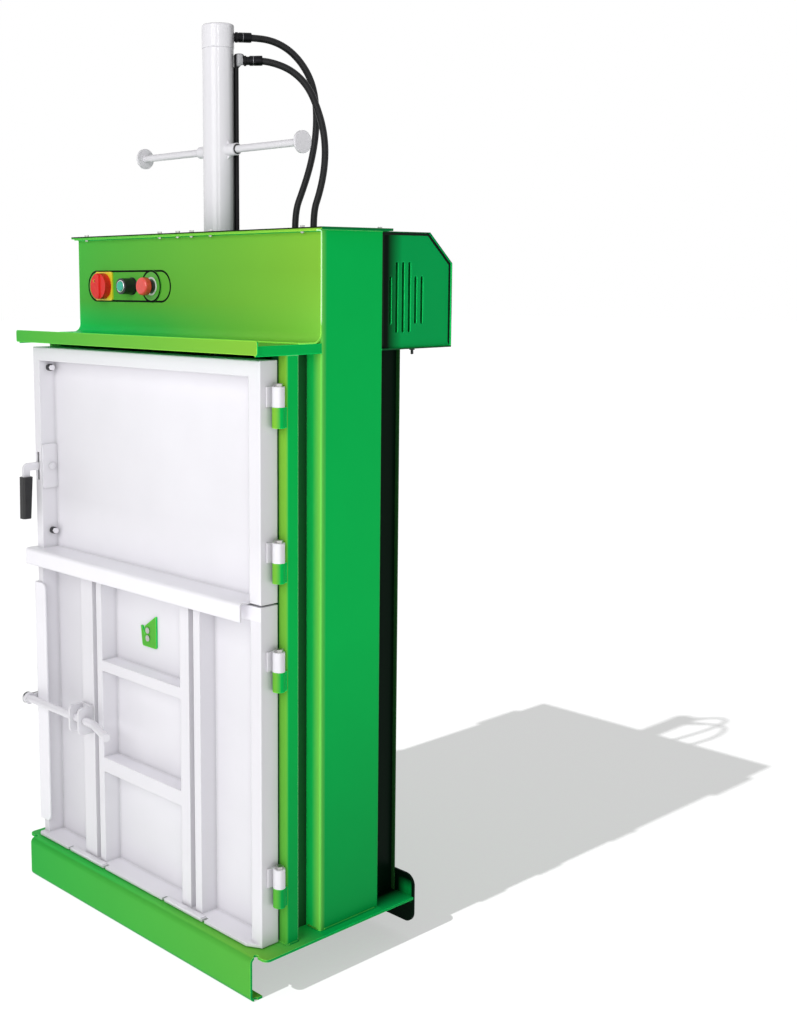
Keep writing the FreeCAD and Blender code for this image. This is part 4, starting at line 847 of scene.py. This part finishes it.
def make_hose_rubber():
    """Rubber hose cover with the faint wrap that the curing cloth leaves."""
    material, tree, shader = start_material("hose_rubber")
    place = object_place(tree)
    cloud = noise(tree, place, 70.0, detail=4.0)
    tone = mottled(tree, cloud, scaled(hose_black, 0.7), scaled(hose_black, 1.6))
    wire(tree, tone, shader.inputs["Base Color"])
    dulled(tree, shader, cloud, 0.36, 0.48)
    shader.inputs["Specular IOR Level"].default_value = 0.22
    wrap = ripples(tree, place, "Z", scale=140.0, distortion=1.2)
    weave = sums(tree, "ADD", wrap, noise(tree, place, 1400.0, detail=2.0))
    bumped(tree, shader, weave, strength=0.20, distance=0.00012)
    return material


# -------- which piece has which finish
finishes = {
    "green_paint": powder_coat("green_powder_coat", frame_green),
    "white_paint": powder_coat(
        "white_powder_coat", door_colour, gain=door_gain, gloss=white_gloss,
        specular=white_specular, crease_shade_depth=door_crease_shade),
    "motor_paint": powder_coat(
        "grey_motor_enamel", motor_grey, gain=0.40, gloss=0.35, specular=0.40),
    "chrome": plain_metal("polished_chrome", chrome_bright, 0.06, grain=260.0, stretch=along_bar),
    "bright_steel": plain_metal("ground_steel", steel_bright, 0.24, grain=900.0, stretch=across_bar),
    "zinc_steel": make_zinc(),
    "dark_steel": plain_metal("blackened_steel", dark_steel, 0.30),
    "cast_metal": make_cast(),
    "black_plastic": moulded("black_switch_plastic", switch_black, roughness=0.28, relief=0.00003),
    "red_plastic": moulded(
        "red_switch_plastic", signal_red, roughness=0.22, relief=0.00002, specular=0.25),
    "yellow_plastic": moulded(
        "yellow_plate_plastic", signal_yellow, roughness=0.30, relief=0.00002),
    "green_plastic": moulded("green_button_plastic", start_green, roughness=0.18, relief=0.00002),
    "label_green": powder_coat(
        "label_green_film", label_green, gain=0.2, gloss=0.30, specular=0.25),
    "black_rubber": make_hose_rubber(),
}
# column and hinge post take a pale painted highlight along their edges
column_paint = powder_coat(
    "column_green_powder_coat", column_green, edge_highlight=pale_highlight, highlight_from=column_highlight_from)
cover_paint = powder_coat("cover_green_powder_coat", cover_colour, gloss=rear_gloss)
rear_paint = powder_coat("rear_green_powder_coat", shaded_green, gloss=rear_gloss)
fitting_paint = make_fitting()
cylinder_paint = make_cylinder_white()
rod_paint = powder_coat("white_rod_enamel", rod_white, gain=0.10, gloss=0.22, specular=0.30)
lock_paint = powder_coat(
    "lock_white_powder_coat", lock_colour, gain=door_gain, gloss=white_gloss,
    specular=0.30, crease_shade_depth=door_crease_shade)
crimp_steel = plain_metal("crimp_steel", crimp_black, 0.34)
crimp_ring_steel = plain_metal("crimp_ring_steel", crimp_grey, 0.34)
stop_plastic = moulded(
    "red_mushroom_plastic", stop_red, roughness=0.12, relief=0.00001, specular=0.60)
seal_rubber = moulded("seal_rubber", leaf_near_black, roughness=0.50, relief=0.00003, specular=0.10)
black_print = moulded("black_print", line_black, roughness=0.40, relief=0.00001, specular=0.04)
white_print = moulded("white_print", line_white, roughness=0.40, relief=0.00001, specular=0.25)

special_finishes = {
    "side_column_left": column_paint,
    "side_column_right": column_paint,
    "chamber_side_left": rear_paint,
    "chamber_side_right": rear_paint,
    "chamber_back": powder_coat("back_green_powder_coat", back_green, gain=0.4, gloss=rear_gloss),
    "base_tray": powder_coat("tray_green_powder_coat", tray_green),
    "guard_strip": powder_coat(
        "guard_white_powder_coat", guard_white_lit, gain=0.05, gloss=white_gloss,
        specular=white_specular, crease_shade_depth=guard_crease_shade),
    "lock_bar": lock_paint,
    "lock_end_bolt": lock_paint,
    "hinge_post": powder_coat("post_green_powder_coat", post_green, edge_highlight=pale_highlight),
    "control_panel": powder_coat("header_green_powder_coat", header_green),
    "top_lid": powder_coat("lid_green_powder_coat", lid_green, gain=0.4),
    "lower_fitting": fitting_paint,
    "upper_fitting": fitting_paint,
    "rear_foot": powder_coat("foot_green_powder_coat", foot_colour, gain=0.6, gloss=rear_gloss),
    "motor_cover": cover_paint,
    "motor_tray": cover_paint,
    "cylinder_barrel": cylinder_paint,
    "cylinder_cap": cylinder_paint,
    "strap_rod_left": rod_paint,
    "strap_rod_right": rod_paint,
    "latch_grip": make_grip_rubber(),
    "stop_button": stop_plastic,
    "stop_bolts": make_stop_bolt(),
    "latch_bolt": finishes["white_paint"],
    "tray_bolts": finishes["dark_steel"],
}


def paint_nodes():
    slots = {part["node"]: part["material_slot"] for part in frame["record"]["subparts"]}
    for name, thing in nodes.items():
        finish = special_finishes.get(name, finishes[slots[name]])
        thing.data.materials.clear()
        thing.data.materials.append(finish)


# -------- piece helpers
merge_reach = 1e-6
upright = Matrix.Rotation(math.radians(90), 4, "X")


def put(name, form, finish, body, smooth=True):
    """Turns a bmesh into a piece that rides on a body."""
    bmesh.ops.recalc_face_normals(form, faces=form.faces)
    mesh = bpy.data.meshes.new(name)
    form.to_mesh(mesh)
    form.free()
    mesh.materials.append(finish)
    for face in mesh.polygons:
        face.use_smooth = smooth
    thing = bpy.data.objects.new(name, mesh)
    bpy.context.scene.collection.objects.link(thing)
    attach(thing, body)
    return thing


def turned(profile, segments):
    """Spins a closed outline of (radius, height) points round the Z axis."""
    form = bmesh.new()
    corners = [form.verts.new((radius, 0.0, height)) for radius, height in profile]
    edges = [form.edges.new(pair) for pair in zip(corners, corners[1:] + corners[:1])]
    bmesh.ops.spin(
        form, geom=corners + edges, cent=(0, 0, 0), axis=(0, 0, 1), angle=2 * math.pi,
        steps=segments, use_merge=True)
    bmesh.ops.remove_doubles(form, verts=form.verts, dist=merge_reach)
    return form


def raise_faces(form, height, direction=Vector((0, 0, 1))):
    """Extrudes every face of a flat form into a plate."""
    raised = bmesh.ops.extrude_face_region(form, geom=form.faces[:])
    moved = [part for part in raised["geom"] if isinstance(part, bmesh.types.BMVert)]
    bmesh.ops.translate(form, verts=moved, vec=direction * height)


def lie_along(form, start, direction):
    """Moves a form from the Z axis to start, with Z along direction."""
    turn = Vector((0, 0, 1)).rotation_difference(direction).to_matrix().to_4x4()
    bmesh.ops.transform(form, matrix=Matrix.Translation(start) @ turn, verts=form.verts)


# -------- hoses and their crimped ends
crimp_segments = 32
crimp_profile = (
    (0.0078, 0.000), (0.0100, 0.000), (0.0106, 0.001), (0.0106, 0.007), (0.0098, 0.008),
    (0.0098, 0.010), (0.0106, 0.011), (0.0106, 0.026), (0.0101, 0.028), (0.0078, 0.028),
)
crimp_ring_profile = (
    (0.0099, 0.0082), (0.0107, 0.0082), (0.0107, 0.0098), (0.0099, 0.0098),
)
crimp_start = -0.006


def route_points(route, azimuth):
    across = Vector((math.cos(azimuth), math.sin(azimuth), 0.0))
    return [Vector((0.0, cylinder_y, height)) + across * reach for reach, height in route]


def make_hose(name, node, route, azimuth):
    points = route_points(route, azimuth)
    line = bpy.data.curves.new(name, "CURVE")
    line.dimensions = "3D"
    line.bevel_depth = hose_diameter / 2
    line.bevel_resolution = hose_roundness
    line.resolution_u = hose_steps
    line.use_fill_caps = True
    spline = line.splines.new("NURBS")
    spline.points.add(len(points) - 1)
    for spot, point in zip(spline.points, points):
        spot.co = (*point, 1.0)
    spline.order_u = 3
    spline.use_endpoint_u = True
    line.materials.append(finishes["black_rubber"])
    hose = bpy.data.objects.new(name, line)
    bpy.context.scene.collection.objects.link(hose)
    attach(hose, "frame")
    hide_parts(node)
    away = (points[1] - points[0]).normalized()
    crimp = turned(crimp_profile, crimp_segments)
    lie_along(crimp, points[0] + away * crimp_start, away)
    sleeve = put(name + "_crimp", crimp, crimp_steel, "frame", False)
    ring_form = turned(crimp_ring_profile, crimp_segments)
    lie_along(ring_form, points[0] + away * crimp_start, away)
    ring = put(name + "_crimp_ring", ring_form, crimp_ring_steel, "frame", False)


# -------- print and rims on the panel
panel_sheet = 0.003
panel_face = column_low.y - panel_sheet
print_thickness = 0.0004
outline_left = -0.377
outline_right = -0.059
outline_half = 0.036
outline_line = 0.0042
outline_segments = 96
stop_low, stop_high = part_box("stop_disc")
stop_centre = (stop_low + stop_high) / 2
stop_ring_radius = 0.0205
stop_ring_line = 0.0042
start_low, start_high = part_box("start_button")
knob_low, knob_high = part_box("isolator_knob")
knob_grip_height = 0.003
window_place = (-0.0125, 0.0120)
window_size = (0.0070, 0.0060)
window_edge = 0.0012


def flat_ring(left, right, level, radius, line, face):
    """A thin closed line round a stadium, or round a circle where left equals right."""
    form = bmesh.new()
    bmesh.ops.create_circle(form, cap_ends=True, segments=outline_segments, radius=radius)
    for vert in form.verts:
        vert.co.x += right if vert.co.x > 0 else left
    bmesh.ops.inset_region(
        form, faces=form.faces[:], thickness=line, use_boundary=True, use_even_offset=True)
    inner = max(form.faces, key=lambda part: len(part.verts))
    bmesh.ops.delete(form, geom=[inner], context="FACES")
    raise_faces(form, print_thickness)
    bmesh.ops.transform(form, matrix=Matrix.Translation((0, face, level)) @ upright, verts=form.verts)
    return form


def make_panel_print():
    level = stop_centre.z
    form = flat_ring(
        outline_left + outline_half, outline_right - outline_half, level,
        outline_half, outline_line, panel_face)
    put("panel_outline", form, black_print, "frame", False)
    rim = (stop_high.x - stop_low.x) / 2
    form = flat_ring(stop_centre.x, stop_centre.x, level, rim, outline_line, stop_low.y)
    put("stop_label_rim", form, black_print, "frame", False)
    form = flat_ring(stop_centre.x, stop_centre.x, level, stop_ring_radius, stop_ring_line, stop_low.y)
    put("stop_label_ring", form, white_print, "frame", False)


bezel_segments = 40
bezel_profile = (
    (0.0113, 0.0000), (0.0113, 0.0012), (0.0120, 0.0018), (0.0132, 0.0018), (0.0139, 0.0010),
    (0.0139, 0.0000),
)
washer_profile = (
    (0.0180, 0.0000), (0.0180, 0.0022), (0.0190, 0.0026), (0.0200, 0.0020), (0.0200, 0.0000),
)


def make_start_rings():
    """The chrome ring round the start button and the dark washer under its barrel."""
    collar_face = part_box("button_collars")[0].y
    across = (start_low.x + start_high.x) / 2
    for name, profile, face, slot in (
            ("start_bezel", bezel_profile, collar_face, "chrome"),
            ("start_washer", washer_profile, panel_face, "dark_steel")):
        form = turned(profile, bezel_segments)
        lie_along(form, Vector((across, face, stop_centre.z)), Vector((0, -1, 0)))
        put(name, form, finishes[slot], "frame")


def make_isolator_window():
    """The small yellow window in the red knob."""
    centre = (knob_low + knob_high) / 2
    form = bmesh.new()
    bmesh.ops.create_grid(form, x_segments=1, y_segments=1, size=0.5)
    bmesh.ops.scale(form, vec=(*window_size, 1.0), verts=form.verts)
    bmesh.ops.inset_region(
        form, faces=form.faces[:], thickness=window_edge, depth=-print_thickness, use_boundary=True)
    raise_faces(form, print_thickness)
    across, above = window_place
    place = Vector((centre.x + across, knob_low.y + knob_grip_height, centre.z + above))
    bmesh.ops.transform(form, matrix=Matrix.Translation(place) @ upright, verts=form.verts)
    put("isolator_window", form, finishes["yellow_plastic"], "isolator", False)


# -------- seal round the cover sides
cover_rim = 0.004
cover_run = 0.071
cover_drop = 0.063
seal_inset = 0.0010
seal_width = 0.0062
seal_height = 0.0010


def make_cover_seals():
    """A dark sealing bead inside the rim of each side of the motor cover."""
    rear = cover_high.y - seal_inset
    top = cover_high.z - seal_inset
    low = cover_low.z + seal_inset
    front = column_high.y + seal_inset
    corners = (
        (front, low), (rear, low), (rear, top - cover_drop), (rear - cover_run, top), (front, top))
    for name, side in (("cover_seal_right", 1), ("cover_seal_left", -1)):
        wall = side * (cover_high.x - cover_rim)
        form = bmesh.new()
        bmesh.ops.contextual_create(form, geom=[form.verts.new((wall, y, z)) for y, z in corners])
        bmesh.ops.inset_region(
            form, faces=form.faces[:], thickness=seal_width, use_boundary=True, use_even_offset=True)
        inner = max(form.faces, key=lambda part: part.calc_area())
        sill = min(form.faces, key=lambda part: part.calc_center_median().z)
        bmesh.ops.delete(form, geom=[inner, sill], context="FACES")
        raise_faces(form, seal_height, Vector((side, 0, 0)))
        put(name, form, seal_rubber, "frame", False)


# -------- ring where the strap rod leaves its sleeve
sleeve_reach = 0.062
rod_ring_profile = (
    (0.0080, 0.0000), (0.0106, 0.0000), (0.0111, 0.0006), (0.0109, 0.0014), (0.0100, 0.0018),
    (0.0080, 0.0018),
)


def make_rod_ring():
    rod_low, rod_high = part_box("strap_rod_right")
    form = turned(rod_ring_profile, crimp_segments)
    lie_along(form, Vector((sleeve_reach, cylinder_y, (rod_low.z + rod_high.z) / 2)), Vector((1, 0, 0)))
    put("strap_rod_ring", form, finishes["black_plastic"], "frame")


# -------- rubber strip between the barrel and its pipe
barrel_radius = 0.034
strip_profile = (
    (-0.0002, -0.0016), (0.0003, -0.0024), (0.0014, -0.0016), (0.0014, 0.0016), (0.0003, 0.0024),
    (-0.0002, 0.0016),
)


def make_pipe_strip():
    """A slim strip that fills the gap between the barrel and the pipe, up to the elbow."""
    form = bmesh.new()
    corners = [
        form.verts.new((barrel_radius + reach, across, lid_high.z)) for reach, across in strip_profile]
    bmesh.ops.contextual_create(form, geom=corners)
    raise_faces(form, elbow_bottom - lid_high.z)
    turn = Matrix.Rotation(lower_hose_azimuth, 4, "Z")
    place = Matrix.Translation((0.0, cylinder_y, 0.0))
    bmesh.ops.transform(form, matrix=place @ turn, verts=form.verts)
    put("pipe_strip", form, finishes["black_rubber"], "frame", False)


# -------- weld beads
bead_segments = 8
bead_pitch = 0.004
bead_swell = 0.22
bead_radius = 0.0024
bead_level = 0.0015
post_bead_end = 0.004
side_bead_end = 0.010
front_bead_start = 0.006
front_bead_end = 0.008


def weld(name, first, last, radius, body, finish):
    """A rippled weld bead between two points."""
    run = Vector(last) - Vector(first)
    steps = max(2, round(run.length / bead_pitch))
    form = bmesh.new()
    bmesh.ops.create_cone(
        form, cap_ends=True, segments=bead_segments, radius1=radius, radius2=radius, depth=run.length)
    sides = [edge for edge in form.edges if abs(edge.verts[0].co.z - edge.verts[1].co.z) > radius]
    bmesh.ops.subdivide_edges(form, edges=sides, cuts=2 * steps - 1)
    for vert in form.verts:
        phase = (vert.co.z / run.length + 0.5) * steps * 2 * math.pi
        swell = 1.0 - bead_swell * (0.5 + 0.5 * math.cos(phase))
        vert.co.x *= swell
        vert.co.y *= swell
    lie_along(form, (Vector(first) + Vector(last)) / 2, run.normalized())
    put(name, form, finish, body)


def make_frame_welds():
    """Beads at the foot of the hinge post and of the right column."""
    green = finishes["green_paint"]
    post_low, post_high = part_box("hinge_post")
    level = post_low.z + bead_level
    post_left, post_right = post_low.x + post_bead_end, post_high.x - post_bead_end
    side_front, side_rear = column_low.y + side_bead_end, column_high.y - side_bead_end
    front_left, front_right = column_low.x + front_bead_start, column_high.x - front_bead_end
    spots = (
        ("post_foot_weld_front", (post_left, post_low.y), (post_right, post_low.y)),
        ("post_foot_weld_side", (post_high.x, post_low.y + post_bead_end), (post_high.x, post_high.y)),
        ("column_foot_weld_side", (column_high.x, side_front), (column_high.x, side_rear)),
        ("column_foot_weld_front", (front_left, column_low.y), (front_right, column_low.y)),
    )
    for name, first, last in spots:
        weld(name, (*first, level), (*last, level), bead_radius, "frame", green)


# -------- floor, light, camera
def seen_directly(tree):
    """1 for rays that come from the camera, through glass or off a mirror."""
    path = add(tree, "ShaderNodeLightPath")
    seen = sums(tree, "MAXIMUM", path.outputs["Is Camera Ray"], path.outputs["Is Transmission Ray"])
    return sums(tree, "MAXIMUM", seen, path.outputs["Is Glossy Ray"])


def make_floor():
    """A matt white floor that takes the shadow and looks nearly as bright as the backdrop."""
    form = bmesh.new()
    bmesh.ops.create_grid(form, x_segments=1, y_segments=1, size=floor_reach)
    mesh = bpy.data.meshes.new("floor")
    form.to_mesh(mesh)
    form.free()
    floor = bpy.data.objects.new("floor", mesh)
    bpy.context.scene.collection.objects.link(floor)
    material, tree, shader = start_material("floor_white")
    shader.inputs["Roughness"].default_value = 0.9
    shader.inputs["Specular IOR Level"].default_value = 0.0
    grain = noise(tree, object_place(tree), 2.0)
    tone = mottled(tree, grain, scaled(floor_colour, 0.99), floor_colour)
    wire(tree, tone, shader.inputs["Base Color"])
    backdrop = add(tree, "ShaderNodeEmission")
    blend = add(tree, "ShaderNodeMixShader")
    wire(tree, product(tree, seen_directly(tree), floor_glow), blend.inputs["Fac"])
    wire(tree, shader.outputs["BSDF"], blend.inputs[1])
    wire(tree, backdrop.outputs["Emission"], blend.inputs[2])
    wire(tree, blend.outputs["Shader"], tree.nodes["Material Output"].inputs["Surface"])
    mesh.materials.append(material)
    return floor


def make_world():
    """White where it is seen, and a soft light that is stronger from the front and above."""
    world = bpy.data.worlds.new("studio")
    bpy.context.scene.world = world
    world.use_nodes = True
    tree = world.node_tree
    back = tree.nodes["Background"]
    back.inputs["Color"].default_value = (1.0, 1.0, 1.0, 1.0)
    toward = dot(tree, add(tree, "ShaderNodeTexCoord").outputs["Generated"], world_axis)
    level = spread(tree, toward, world_low, world_high, world_back, world_front)
    wire(tree, sums(tree, "MAXIMUM", seen_directly(tree), level), back.inputs["Strength"])


def make_softbox(name, place, size, power, lit):
    """A soft rectangular lamp that shines on the collection alone."""
    lamp = bpy.data.lights.new(name, "AREA")
    lamp.shape = "RECTANGLE"
    lamp.size, lamp.size_y = size
    lamp.energy = power
    box = bpy.data.objects.new(name, lamp)
    box.location = place
    box.rotation_euler = (aim - place).to_track_quat("-Z", "Y").to_euler()
    bpy.context.scene.collection.objects.link(box)
    box.light_linking.receiver_collection = lit


def make_floor_sun(name, lit, energy, height):
    """A sun that shines on the collection alone."""
    lamp = bpy.data.lights.new(name, "SUN")
    lamp.energy = energy
    lamp.angle = floor_sun_angle
    sun = bpy.data.objects.new(name, lamp)
    sun.rotation_euler = (math.pi / 2 - height, 0.0, 0.0)
    bpy.context.scene.collection.objects.link(sun)
    sun.light_linking.receiver_collection = lit


def make_lights(floor):
    on_floor = bpy.data.collections.new("lit_floor")
    on_floor.objects.link(floor)
    on_machine = bpy.data.collections.new("lit_machine")
    for thing in bpy.data.objects:
        if thing.type in ("MESH", "CURVE") and thing is not floor:
            on_machine.objects.link(thing)
    make_softbox("key_softbox", key_place, key_size, key_power, on_machine)
    make_softbox("edge_strip", edge_place, edge_size, edge_power, on_machine)
    make_floor_sun("floor_sun", on_floor, floor_sun, floor_sun_height)


def make_camera():
    """The camera of the photo, with its shifted optical centre and its small roll."""
    data = bpy.data.cameras.new("photo_camera")
    data.sensor_width = sensor
    data.lens = focal_pixels / photo_height * sensor
    data.shift_x = (photo_width / 2 - optical_centre[0]) / photo_height
    data.shift_y = (optical_centre[1] - photo_height / 2) / photo_height
    data.clip_end = camera_reach
    ahead = Vector((
        -math.sin(camera_azimuth) * math.cos(camera_pitch),
        math.cos(camera_azimuth) * math.cos(camera_pitch),
        -math.sin(camera_pitch)))
    right = Vector((math.cos(camera_azimuth), math.sin(camera_azimuth), 0.0))
    up = right.cross(ahead)
    tilted_right = right * math.cos(camera_roll) + up * math.sin(camera_roll)
    tilted_up = up * math.cos(camera_roll) - right * math.sin(camera_roll)
    turn = Matrix((tilted_right, tilted_up, -ahead)).transposed().to_4x4()
    camera = bpy.data.objects.new("photo_camera", data)
    camera.matrix_world = Matrix.Translation(camera_place) @ turn
    bpy.context.scene.collection.objects.link(camera)
    bpy.context.scene.camera = camera


make_camera()
make_hose("hose_upper_line", "hose_upper", upper_hose_route, upper_hose_azimuth)
make_hose("hose_lower_line", "hose_lower", lower_hose_route, lower_hose_azimuth)
paint_nodes()
make_panel_print()
make_start_rings()
make_isolator_window()
make_cover_seals()
make_rod_ring()
make_pipe_strip()
make_frame_welds()
floor_piece = make_floor()
make_world()
make_lights(floor_piece)
bpy.context.scene.view_settings.view_transform = "Standard"
